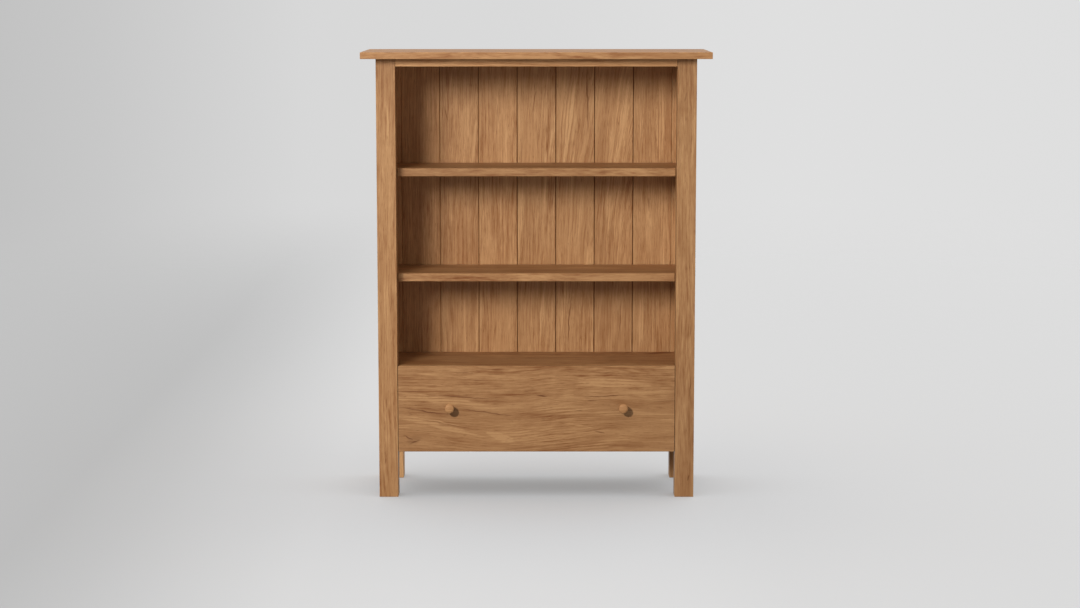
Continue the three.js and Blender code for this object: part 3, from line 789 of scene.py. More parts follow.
def round_edges(mesh: bmesh.types.BMesh, ease: float, segments: int) -> None:
    """Rounds every edge of a mesh.

    Args:
        mesh: The mesh.
        ease: How far the rounding reaches from an edge.
        segments: The faces across a rounded edge.
    """
    bmesh.ops.bevel(
        mesh, geom=mesh.edges[:], offset=ease, offset_type="OFFSET", segments=segments,
        profile=0.5, affect="EDGES", material=-1, clamp_overlap=True,
    )


def turned(
    profile: list[tuple[float, float]], centre: Vector, axis: Vector, steps: int
) -> bmesh.types.BMesh:
    """A solid turned round an axis, from a profile that starts and ends on it.

    Args:
        profile: Pairs of a radius and a distance along the axis.
        centre: Where distances along the axis start.
        axis: The axis, of length 1.
        steps: The faces round the axis.

    Returns:
        The solid, with its faces pointing out.
    """
    mesh = bmesh.new()
    side = axis.orthogonal().normalized()
    points = [mesh.verts.new(centre + axis * along + side * radius) for radius, along in profile]
    edges = [mesh.edges.new(pair) for pair in zip(points, points[1:])]
    bmesh.ops.spin(
        mesh, geom=points + edges, cent=centre, axis=axis, dvec=(0, 0, 0),
        angle=math.tau, steps=steps, use_merge=True, use_duplicate=False,
    )
    bmesh.ops.remove_doubles(mesh, verts=mesh.verts[:], dist=SEAM)
    bmesh.ops.recalc_face_normals(mesh, faces=mesh.faces[:])
    return mesh


def joined(meshes: list[bmesh.types.BMesh]) -> bmesh.types.BMesh:
    """Puts several meshes into one, and frees them.

    Args:
        meshes: The meshes.

    Returns:
        One mesh with all of them.
    """
    whole = bmesh.new()
    for mesh in meshes:
        data = bpy.data.meshes.new("part_of_a_piece")
        mesh.to_mesh(data)
        mesh.free()
        whole.from_mesh(data)
        bpy.data.meshes.remove(data)
    return whole


@dataclass
class Carcass:
    """The posts, top, rails, side panels and back boards.

    Attributes:
        edge: How far the rounding of an edge reaches.
        post_tones: How light the front left, front right, rear left and rear right posts are.
        post_warmths: How much redder than the finish each of them is.
        post_marks: The marks on the posts, by the post's name.
        post_figure: How strongly the posts' grain shows.
        post_sway: How much it wanders.
        board_rest: How far the outer boards' dark edges lie beyond the rear posts' faces.
        board_tones: How light each back board is, from left to right.
        board_warmths: How much redder than the finish each of them is.
        board_joints: How much stain has settled along the edges of each of them.
        board_logs: The place of the log's middle for each of them, across and through, and its lean.
        board_marks: Their marks, by the board's number.
        board_figure: How strongly the boards' grain shows.
        board_sway: How much it wanders.
    """

    edge: float = 0.0012
    post_tones: tuple[float, float, float, float] = (0.975, 0.87, 1.3, 1.09)
    post_warmths: tuple[float, float, float, float] = (-0.05, 0.1, 0.0, -1.0)
    post_marks: dict[str, tuple[Mark, ...]] = field(default_factory=lambda: {
        "front_left_post": (
            Mark(Shade.DARK, -0.343, -0.003, 0.025, 0.0022, 0.0, 0.55),
            Mark(Shade.DARK, -0.505, -0.009, 0.012, 0.0028, 0.1, 0.55),
            Mark(Shade.PALE, 0.43, 0.004, 0.11, 0.006, -0.03, 0.6),
            Mark(Shade.DARK, -0.06, 0.011, 0.04, 0.0018, 0.02, 0.45),
        ),
        "front_right_post": (
            Mark(Shade.PALE, 0.38, 0.017, 0.1, 0.005, 0.065, 0.9),
            Mark(Shade.DARK, 0.5, -0.004, 0.02, 0.003, 0.1, 0.5),
            Mark(Shade.DARK, -0.3, 0.016, 0.06, 0.0016, 0.0, 0.8),
            Mark(Shade.DARK, -0.55, 0.013, 0.012, 0.003, 0.2, 0.8),
            # A broad faint darkening over the lower part of the post.
            Mark(Shade.DARK, -0.46, 0.0, 0.3, 0.08, 0.0, 0.21),
        ),
        # Painted light on the rear left post: a broad paler patch over its foot. Painted shadow on the rear
        # right post: a broad darker patch over its foot, which the case shades.
        "rear_left_post": (Mark(Shade.PALE, -0.56, 0.0, 0.16, 0.08, 0.0, 1.0),),
        "rear_right_post": (Mark(Shade.DARK, -0.5, 0.0, 0.12, 0.09, 0.0, 0.66),),
    })
    post_figure: float = 0.74
    post_sway: float = 0.7
    board_rest: float = 0.004
    board_tones: tuple[float, ...] = (1.12, 1.04, 1.12, 1.085, 1.095, 1.085, 1.08)
    board_warmths: tuple[float, ...] = (0.5, 0.1, -0.2, -0.35, -0.35, -0.35, -0.6)
    board_joints: tuple[float, ...] = (0.5, 0.5, 0.75, 1.0, 1.0, 1.0, 1.0)
    board_logs: tuple[tuple[float, float, float], ...] = (
        (0.13, -0.04, 0.03), (0.12, -0.05, 0.04), (0.13, -0.03, 0.04), (0.12, -0.05, 0.07),
        (0.13, -0.06, 0.13), (0.13, -0.06, 0.14), (0.16, -0.01, 0.02),
    )
    board_marks: dict[int, tuple[Mark, ...]] = field(default_factory=lambda: {
        1: (
            Mark(Shade.DARK, 0.24, 0.07, 0.05, 0.004, 0.1, 0.6),
            # Painted light: a broad faint paler patch over the top of board 1, where the top and the left
            # post shade it.
            Mark(Shade.PALE, 0.38, 0.0, 0.3, 0.3, 0.0, 0.2),
        ),
        2: (
            Mark(Shade.DARK, 0.37, -0.038, 0.03, 0.003, -0.2, 0.6),
            Mark(Shade.PALE, 0.29, 0.042, 0.09, 0.007, 0.1, 0.9),
        ),
        3: (Mark(Shade.DARK, 0.38, 0.0, 0.05, 0.0025, -0.1, 0.5),),
        4: (
            Mark(Shade.DARK, 0.415, -0.006, 0.09, 0.002, 0.05, 0.75),
            Mark(Shade.PALE, 0.31, 0.045, 0.09, 0.008, 0.12, 0.9),
            Mark(Shade.PALE, -0.18, 0.018, 0.12, 0.007, 0.08, 0.9),
        ),
        5: (
            Mark(Shade.PALE, 0.34, -0.018, 0.18, 0.012, 0.13, 1.0),
            Mark(Shade.DARK, 0.42, 0.033, 0.11, 0.0035, -0.02, 0.9),
            Mark(Shade.DARK, -0.21, -0.015, 0.1, 0.0025, 0.07, 0.8),
            Mark(Shade.PALE, -0.16, -0.032, 0.1, 0.009, 0.07, 0.7),
        ),
        6: (
            Mark(Shade.PALE, 0.35, 0.025, 0.18, 0.012, 0.15, 1.0),
            Mark(Shade.PALE, 0.1, -0.014, 0.08, 0.007, 0.03, 0.8),
            Mark(Shade.DARK, -0.21, 0.02, 0.09, 0.002, 0.06, 0.8),
            Mark(Shade.PALE, -0.2, 0.005, 0.1, 0.01, 0.04, 0.4),
            # A broad faint darkening over the lower middle of board 6.
            Mark(Shade.DARK, -0.19, 0.0, 0.3, 0.2, 0.0, 0.14),
        ),
        7: (
            Mark(Shade.PALE, 0.35, 0.02, 0.15, 0.016, 0.0, 0.8),
            Mark(Shade.DARK, 0.12, -0.012, 0.025, 0.004, 0.0, 0.7),
            Mark(Shade.PALE, -0.2, -0.03, 0.12, 0.012, 0.03, 0.8),
        ),
    })
    board_figure: float = 0.78
    board_sway: float = 0.8

    def build(self, nodes: dict[str, bpy.types.Object]) -> None:
        """Builds the pieces with rounded edges and dresses the rest.

        Args:
            nodes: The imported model's nodes.
        """
        self._posts()
        self._board("top", Grain.LEVEL, Cut(3, (0.14, -0.07), 0.015, 0.98, 0.4, 0.7, 0.5))
        self._rail("front_top_rail", Grain.LEVEL_FRONT, Cut(5, (0.11, 0.02), 0.01, 1.25, 0.0, 0.65))
        self._rail("front_bottom_rail", Grain.LEVEL, Cut(8, (0.1, 0.05), 0.02, 0.94))
        for seed, name in enumerate(("rear_top_rail", "rear_middle_rail", "rear_bottom_rail"), start=11):
            self._rail(name, Grain.LEVEL_FRONT, Cut(seed, (0.03, -0.06), 0.05, 0.98))
        for sign, word in ((-1, "left"), (1, "right")):
            panel = Cut(20 + sign, (0.12, 0.05), 0.02, 1.24)
            self._dress(nodes, f"{word}_side_panel", Grain.UPRIGHT_SIDE, panel)
            for seed, name in ((25, "top_cleat"), (28, "slide_batten")):
                cut = Cut(seed + sign, (0.08, 0.03), 0.02)
                self._dress(nodes, f"{word}_{name}", Grain.DEEP_SIDE, cut, BOX_TIMBER)
        self._boards(nodes)

    def _boards(self, nodes: dict[str, bpy.types.Object]) -> None:
        """Dresses the back boards, each up to the next one's face, where the stain of a joint lies.

        Args:
            nodes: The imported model's nodes.
        """
        last = len(self.board_tones)
        rows = zip(self.board_tones, self.board_warmths, self.board_joints, self.board_logs)
        for index, (tone, warmth, joint, (pith_across, pith_through, lean)) in enumerate(rows, start=1):
            cut = Cut(
                30 + 3 * index, (pith_across, pith_through), lean, tone, warmth,
                self.board_figure, self.board_sway, marks=self.board_marks[index], joint=joint,
            )
            low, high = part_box(f"back_board_{index}")
            if index < last:
                high.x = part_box(f"back_board_{index + 1}")[0].x
            else:
                high.x += self.board_rest
            if index == 1:
                low.x -= self.board_rest
            CASE_TIMBER.dress(nodes[f"back_board_{index}"], low, high, Grain.UPRIGHT, cut)
            log.info("dressed back_board_%d", index)

    def _posts(self) -> None:
        """Builds the four posts."""
        posts = zip(self.post_marks.items(), self.post_tones, self.post_warmths)
        for index, ((name, marks), tone, warmth) in enumerate(posts):
            cut = Cut(
                50 + 7 * index, (0.09, 0.012), 0.012, tone, warmth,
                self.post_figure, self.post_sway, marks=marks,
            )
            self._board(name, Grain.UPRIGHT, cut)

    def _rail(self, node: str, grain: Grain, cut: Cut) -> None:
        """Builds a rail as far as the posts, which hide its tenons.

        Args:
            node: The node's name.
            grain: The way that the grain runs.
            cut: How the rail was cut.
        """
        low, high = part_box(node)
        inner_low, inner_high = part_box("drawer_front")
        low.x = inner_low.x - self.edge / 2
        high.x = inner_high.x + self.edge / 2
        self._block(node, low, high, grain, cut)

    def _board(self, node: str, grain: Grain, cut: Cut) -> None:
        """Builds a board as large as its node.

        Args:
            node: The node's name.
            grain: The way that the grain runs.
            cut: How the board was cut.
        """
        self._block(node, *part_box(node), grain, cut)

    def _block(self, node: str, low: Vector, high: Vector, grain: Grain, cut: Cut) -> None:
        """Builds a block with rounded edges in place of a node.

        Args:
            node: The node's name.
            low: The block's lowest corner.
            high: Its highest corner.
            grain: The way that the grain runs.
            cut: How it was cut.
        """
        piece = new_piece(f"{node}_eased", eased_block(low, high, self.edge), Body.CABINET)
        CASE_TIMBER.dress(piece, low, high, grain, cut)
        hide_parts(node)

    def _dress(
        self, nodes: dict[str, bpy.types.Object], node: str, grain: Grain, cut: Cut,
        timber: Timber = CASE_TIMBER,
    ) -> None:
        """Dresses a node that keeps its shape.

        Args:
            nodes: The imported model's nodes.
            node: The node's name.
            grain: The way that the grain runs.
            cut: How the board was cut.
            timber: The finish.
        """
        timber.dress(nodes[node], *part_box(node), grain, cut)
        log.info("dressed %s", node)


@dataclass
class Shelving:
    """The deck, the two shelves and their pins.

    Attributes:
        edge: How far the rounding of a shelf's edge reaches.
        notch_gap: Between a shelf's notches and the posts.
        pin_radius: The radius of a shelf pin.
        pin_edge: How far the rounding of a pin's ends reaches.
        deck_painted_shade: Painted shade, a broad darker stretch over the front of the deck's top.
        upper_painted_shade: Painted shade on the upper shelf, behind its front edge.
        lower_painted_shade: Painted shade on the lower shelf.
    """

    edge: float = 0.0018
    notch_gap: float = 0.001
    pin_radius: float = 0.0025
    pin_edge: float = 0.0006
    # Painted shade: broad dark marks that darken the front part of the deck's top and of each shelf's top.
    deck_painted_shade: Mark = Mark(Shade.DARK, 0.0, -0.13, 1.6, 0.22, 0.0, 0.4)
    upper_painted_shade: Mark = Mark(Shade.DARK, 0.0, -0.05, 1.6, 0.06, 0.0, 0.32)
    lower_painted_shade: Mark = Mark(Shade.DARK, 0.0, -0.05, 1.6, 0.06, 0.0, 0.36)

    def build(self, nodes: dict[str, bpy.types.Object]) -> None:
        """Builds the shelves and pins, and dresses the deck.

        Args:
            nodes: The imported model's nodes.
        """
        deck = Cut(71, (0.12, -0.06), 0.05, 0.81, 1.2, 1.2, marks=(self.deck_painted_shade,))
        CASE_TIMBER.dress(nodes["deck"], *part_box("deck"), Grain.LEVEL, deck)
        log.info("dressed deck")
        self._shelf("upper_shelf", Cut(77, (0.14, -0.05), 0.05, 0.8, 0.75, marks=(self.upper_painted_shade,)))
        self._shelf("lower_shelf", Cut(83, (0.15, -0.06), -0.04, 0.85, 0.85, marks=(self.lower_painted_shade,)))
        for level in ("upper", "lower"):
            for place in ("front", "rear"):
                for sign, word in ((-1, "left"), (1, "right")):
                    self._pin(f"{level}_shelf_pin_{place}_{word}", sign)

    def _shelf(self, node: str, cut: Cut) -> None:
        """Builds a shelf that is notched round the front posts.

        Args:
            node: The node's name.
            cut: How the board was cut.
        """
        low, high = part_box(node)
        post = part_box("front_right_post")
        nose, notch = post[0].x - self.notch_gap, post[1].y + self.notch_gap
        outline = (
            (-nose, low.y), (nose, low.y), (nose, notch), (high.x, notch),
            (high.x, high.y), (low.x, high.y), (low.x, notch), (-nose, notch),
        )
        mesh = bmesh.new()
        floor = mesh.faces.new([mesh.verts.new((x, y, low.z)) for x, y in outline])
        raised = bmesh.ops.extrude_face_region(mesh, geom=[floor])
        lifted = [item for item in raised["geom"] if isinstance(item, bmesh.types.BMVert)]
        bmesh.ops.translate(mesh, verts=lifted, vec=(0, 0, high.z - low.z))
        bmesh.ops.recalc_face_normals(mesh, faces=mesh.faces[:])
        round_edges(mesh, self.edge, 3)
        piece = new_piece(f"{node}_eased", mesh, Body.CABINET)
        CASE_TIMBER.dress(piece, low, high, Grain.LEVEL, cut)
        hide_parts(node)

    def _pin(self, node: str, sign: int) -> None:
        """Builds a shelf pin with a collar.

        Args:
            node: The node's name.
            sign: -1 on the left and 1 on the right.
        """
        low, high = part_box(node)
        centre = (low + high) / 2
        half = (high.x - low.x) / 2
        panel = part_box(f"{'left' if sign < 0 else 'right'}_side_panel")
        face = (panel[0].x if sign > 0 else -panel[1].x) - sign * centre.x
        collar = (high.z - low.z) / 2
        radius, soft = self.pin_radius, self.pin_edge
        profile = [
            (0.0, -half), (radius - soft, -half), (radius, -half + soft), (radius, face - 2 * soft),
            (collar, face - 2 * soft), (collar, face), (radius, face),
            (radius, half - soft), (radius - soft, half), (0.0, half),
        ]
        mesh = turned(profile, centre, Vector((sign, 0, 0)), PIN_STEPS)
        piece = new_piece(f"{node}_turned", mesh, Body.CABINET)
        BRASS.dress(piece)
        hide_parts(node)


def screw_head(centre: Vector, axis: Vector, radius: float, height: float) -> bmesh.types.BMesh:
    """A domed screw head with a cross recess.

    Args:
        centre: The middle of the head's underside.
        axis: The way that the head faces.
        radius: The head's radius.
        height: The head's height.

    Returns:
        The head.
    """
    profile = [(radius * across, height * along) for across, along in HEAD_PROFILE]
    head = turned(profile, centre, axis, HEAD_STEPS)
    facing = axis.to_track_quat("Z", "Y").to_matrix().to_4x4()
    middle = Matrix.Translation(centre + axis * height * RECESS_LEVEL) @ facing
    return joined([head, *(cross_wing(middle, radius, height, turn) for turn in range(4))])


def cross_wing(place: Matrix, radius: float, height: float, turn: int) -> bmesh.types.BMesh:
    """One of the four raised quarters that leave a cross recess between them.

    Args:
        place: The middle of the recess, turned with the head.
        radius: The head's radius.
        height: The head's height.
        turn: Which quarter it is.

    Returns:
        The quarter.
    """
    mesh = bmesh.new()
    reach = radius * WING_WIDTH
    offset = Matrix.Translation((radius * WING_OFFSET, radius * WING_OFFSET, 0.0))
    spin = Matrix.Rotation(turn * math.pi / 2, 4, "Z")
    size = Matrix.Diagonal((reach, reach, height * WING_HEIGHT, 1.0))
    bmesh.ops.create_cube(mesh, size=1.0, matrix=place @ spin @ offset @ size)
    return mesh


@dataclass
class Drawer:
    """The drawer front, its knobs, the dovetailed box and the screws.

    Attributes:
        edge: How far the rounding of the front's edges reaches.
        bends: Where the grain of the front flows round a knot and down to the right.
        marks: The marks in the grain of the front.
        knob_profile: The knob's curve, as shares of its radius and of its height.
        shank: The share of a screw head's radius that its shank has.
        head_share: How high a screw's head is, as a share of its radius.
    """

    edge: float = 0.001
    bends: tuple[Bend, ...] = (
        Bend(-0.335, -0.085, 0.03, 0.014, 0.006),
        Bend(-0.09, -0.08, 0.2, 0.085, -0.04),
    )
    marks: tuple[Mark, ...] = (
        Mark(Shade.DARK, -0.334, -0.09, 0.02, 0.0042, 0.35, 0.85),
        Mark(Shade.DARK, -0.35, -0.08, 0.015, 0.0034, -0.6, 0.75),
        Mark(Shade.DARK, -0.337, -0.086, 0.03, 0.014, 0.15, 0.38),
        Mark(Shade.DARK, -0.3, -0.006, 0.09, 0.0026, -0.16, 0.85),
        Mark(Shade.DARK, -0.13, -0.01, 0.1, 0.0024, -0.15, 0.8),
        Mark(Shade.DARK, -0.2, 0.033, 0.12, 0.0018, -0.04, 0.7),
        Mark(Shade.DARK, -0.34, 0.048, 0.05, 0.0016, 0.02, 0.6),
        Mark(Shade.PALE, -0.26, 0.026, 0.15, 0.011, -0.1, 1.0),
        Mark(Shade.PALE, -0.27, -0.048, 0.14, 0.009, -0.24, 1.0),
        Mark(Shade.PALE, -0.3, -0.03, 0.1, 0.004, -0.2, 1.0),
        Mark(Shade.DARK, -0.26, -0.04, 0.09, 0.0016, -0.21, 0.45),
        Mark(Shade.PALE, -0.3, 0.038, 0.1, 0.003, -0.08, 0.9),
        Mark(Shade.PALE, -0.1, -0.077, 0.05, 0.015, -0.4, 1.0),
        Mark(Shade.PALE, 0.09, 0.0, 0.13, 0.02, 0.0, 0.4),
        Mark(Shade.DARK, 0.18, 0.035, 0.1, 0.0018, 0.03, 0.8),
        Mark(Shade.DARK, 0.155, 0.024, 0.022, 0.0024, 0.0, 0.8),
        Mark(Shade.DARK, 0.115, -0.004, 0.016, 0.002, 0.05, 0.8),
        Mark(Shade.DARK, 0.01, 0.037, 0.022, 0.0026, -0.1, 0.8),
        Mark(Shade.DARK, 0.172, -0.065, 0.02, 0.0025, -0.15, 0.8),
        Mark(Shade.PALE, 0.21, 0.074, 0.13, 0.02, 0.0, 0.8),
        Mark(Shade.PALE, 0.12, -0.046, 0.05, 0.003, -0.2, 0.7),
    )
    knob_profile: tuple[tuple[float, float], ...] = (
        (0.577, 0.0), (0.58, 0.035), (0.53, 0.08), (0.49, 0.18), (0.48, 0.3), (0.51, 0.44), (0.62, 0.56),
        (0.84, 0.67), (0.965, 0.75), (1.0, 0.82), (0.97, 0.9), (0.84, 0.96), (0.52, 0.99), (0.2, 1.0),
    )
    shank: float = 0.47
    head_share: float = 0.58

    def build(self, nodes: dict[str, bpy.types.Object]) -> None:
        """Builds the front, knobs and screws, and dresses the box.

        Args:
            nodes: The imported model's nodes.
        """
        low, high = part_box("drawer_front")
        mesh = eased_block(low, high, self.edge)
        front = new_piece("drawer_front_eased", mesh, Body.DRAWER)
        cut = Cut(91, (0.16, -0.04), 0.0, 0.664, 0.58, 0.95, 1.4, self.bends, self.marks)
        CASE_TIMBER.dress(front, low, high, Grain.LEVEL_FRONT, cut)
        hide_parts("drawer_front")
        for index, word in enumerate(("left", "right")):
            self._knob(f"{word}_knob", index)
            self._screw(f"{word}_knob_screw")
            self._screw(f"front_screw_upper_{word}")
            self._screw(f"front_screw_lower_{word}")
        ways = {
            "drawer_box_front": Grain.LEVEL_FRONT,
            "drawer_box_back": Grain.LEVEL_FRONT,
            "drawer_left_side": Grain.DEEP_SIDE,
            "drawer_right_side": Grain.DEEP_SIDE,
            "drawer_bottom": Grain.LEVEL,
        }
        for seed, (node, grain) in enumerate(ways.items(), start=101):
            BOX_TIMBER.dress(nodes[node], *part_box(node), grain, Cut(seed, (0.04, -0.07), 0.03))
            log.info("dressed %s", node)

    def _knob(self, node: str, index: int) -> None:
        """Builds a turned knob.

        Args:
            node: The node's name.
            index: 0 on the left and 1 on the right.
        """
        low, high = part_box(node)
        radius, height = (high.x - low.x) / 2, high.y - low.y
        centre = Vector(((low.x + high.x) / 2, high.y, (low.z + high.z) / 2))
        profile = [(0.0, 0.0), *((r * radius, a * height) for r, a in self.knob_profile), (0.0, height)]
        mesh = turned(profile, centre, Vector((0, -1, 0)), KNOB_STEPS)
        piece = new_piece(f"{node}_turned", mesh, Body.DRAWER)
        cut = Cut(112 + 4 * index, (0.09, 0.05), 0.1, 0.8, 0.5, 0.55)
        KNOB_TIMBER.dress(piece, low, high, Grain.LEVEL_FRONT, cut)
        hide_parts(node)

    def _screw(self, node: str) -> None:
        """Builds a screw with a cross recess.

        Args:
            node: The node's name.
        """
        low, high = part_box(node)
        radius = (high.x - low.x) / 2
        height = radius * self.head_share
        seat = Vector(((low.x + high.x) / 2, high.y - height, (low.z + high.z) / 2))
        tip = low.y - seat.y
        thin = radius * self.shank
        shank = [(0.0, tip), (thin, tip + radius), (thin, 0.0), (0.0, 0.0)]
        back = Vector((0, 1, 0))
        mesh = joined([turned(shank, seat, back, SHANK_STEPS), screw_head(seat, back, radius, height)])
        piece = new_piece(f"{node}_crossed", mesh, Body.DRAWER)
        ZINC.dress(piece)
        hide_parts(node)


@dataclass
class Slides:
    """The two telescopic slides.

    Attributes:
        ball_radius: The radius of a ball.
        balls: How many balls each race has.
        sheet: The thickness of a cage's sheet.
        channel_sheet: The thickness of the channels' sheet.
        slot_inset: From a channel's ends to its outer slots.
        head_radius: The radius of the screws in the channels.
        head_height: How far their heads stand out of the web.
    """

    ball_radius: float = 0.0016
    balls: int = 5
    sheet: float = 0.0004
    channel_sheet: float = 0.0012
    slot_inset: float = 0.026
    head_radius: float = 0.0031
    head_height: float = 0.00016

    def build(self, nodes: dict[str, bpy.types.Object]) -> None:
        """Dresses the channels and builds the cages and screws.

        Args:
            nodes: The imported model's nodes.
        """
        cages = {
            "left": (Body.LEFT_OUTER_CAGE, Body.LEFT_INNER_CAGE),
            "right": (Body.RIGHT_OUTER_CAGE, Body.RIGHT_INNER_CAGE),
        }
        for sign, word in ((-1, "left"), (1, "right")):
            for part in ("cabinet", "middle", "drawer"):
                ZINC.dress(nodes[f"{word}_slide_{part}_channel"])
                log.info("dressed %s_slide_%s_channel", word, part)
            for body in cages[word]:
                self._cage(body, sign)
            self._screws(word, sign)

    def _cage(self, body: Body, sign: int) -> None:
        """Builds a cage with its two rows of balls.

        Args:
            body: The cage's body, which is named as its node is.
            sign: -1 on the left and 1 on the right.
        """
        node = body.value
        low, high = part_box(node)
        middle = (low.z + high.z) / 2
        race = (high.z - low.z) / 2 - self.ball_radius
        near, far = (high.x, low.x) if sign > 0 else (low.x, high.x)
        inner = near - sign * self.sheet
        parts = [eased_block(
            Vector((min(near, inner), low.y, middle - race)),
            Vector((max(near, inner), high.y, middle + race)), self.sheet / 4, 1,
        )]
        ball_x = (inner + far) / 2
        pitch = (high.y - low.y) / self.balls
        for level in (middle - race, middle + race):
            parts.append(eased_block(
                Vector((low.x, low.y, level - self.sheet / 2)),
                Vector((high.x, high.y, level + self.sheet / 2)), self.sheet / 4, 1,
            ))
            for index in range(self.balls):
                ball = bmesh.new()
                place = Matrix.Translation((ball_x, low.y + (index + 0.5) * pitch, level))
                bmesh.ops.create_uvsphere(
                    ball, u_segments=BALL_STEPS, v_segments=BALL_RINGS, radius=self.ball_radius,
                    matrix=place,
                )
                parts.append(ball)
        piece = new_piece(f"{node}_with_balls", joined(parts), body)
        BRIGHT.dress(piece)
        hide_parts(node)

    def _screws(self, word: str, sign: int) -> None:
        """Builds the screws that hold a slide to the post and to the drawer box.

        Args:
            word: left or right.
            sign: -1 on the left and 1 on the right.
        """
        for part, body in (("cabinet", Body.CABINET), ("drawer", Body.DRAWER)):
            low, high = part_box(f"{word}_slide_{part}_channel")
            outward = Vector((-sign if part == "cabinet" else sign, 0, 0))
            web = high.x if (part == "cabinet") == (sign > 0) else low.x
            face = web + outward.x * self.channel_sheet
            level = (low.z + high.z) / 2
            heads = [
                screw_head(Vector((face, y, level)), outward, self.head_radius, self.head_height)
                for y in (low.y + self.slot_inset, high.y - self.slot_inset)
            ]
            piece = new_piece(f"{word}_slide_{part}_screws", joined(heads), body)
            BRIGHT.dress(piece)


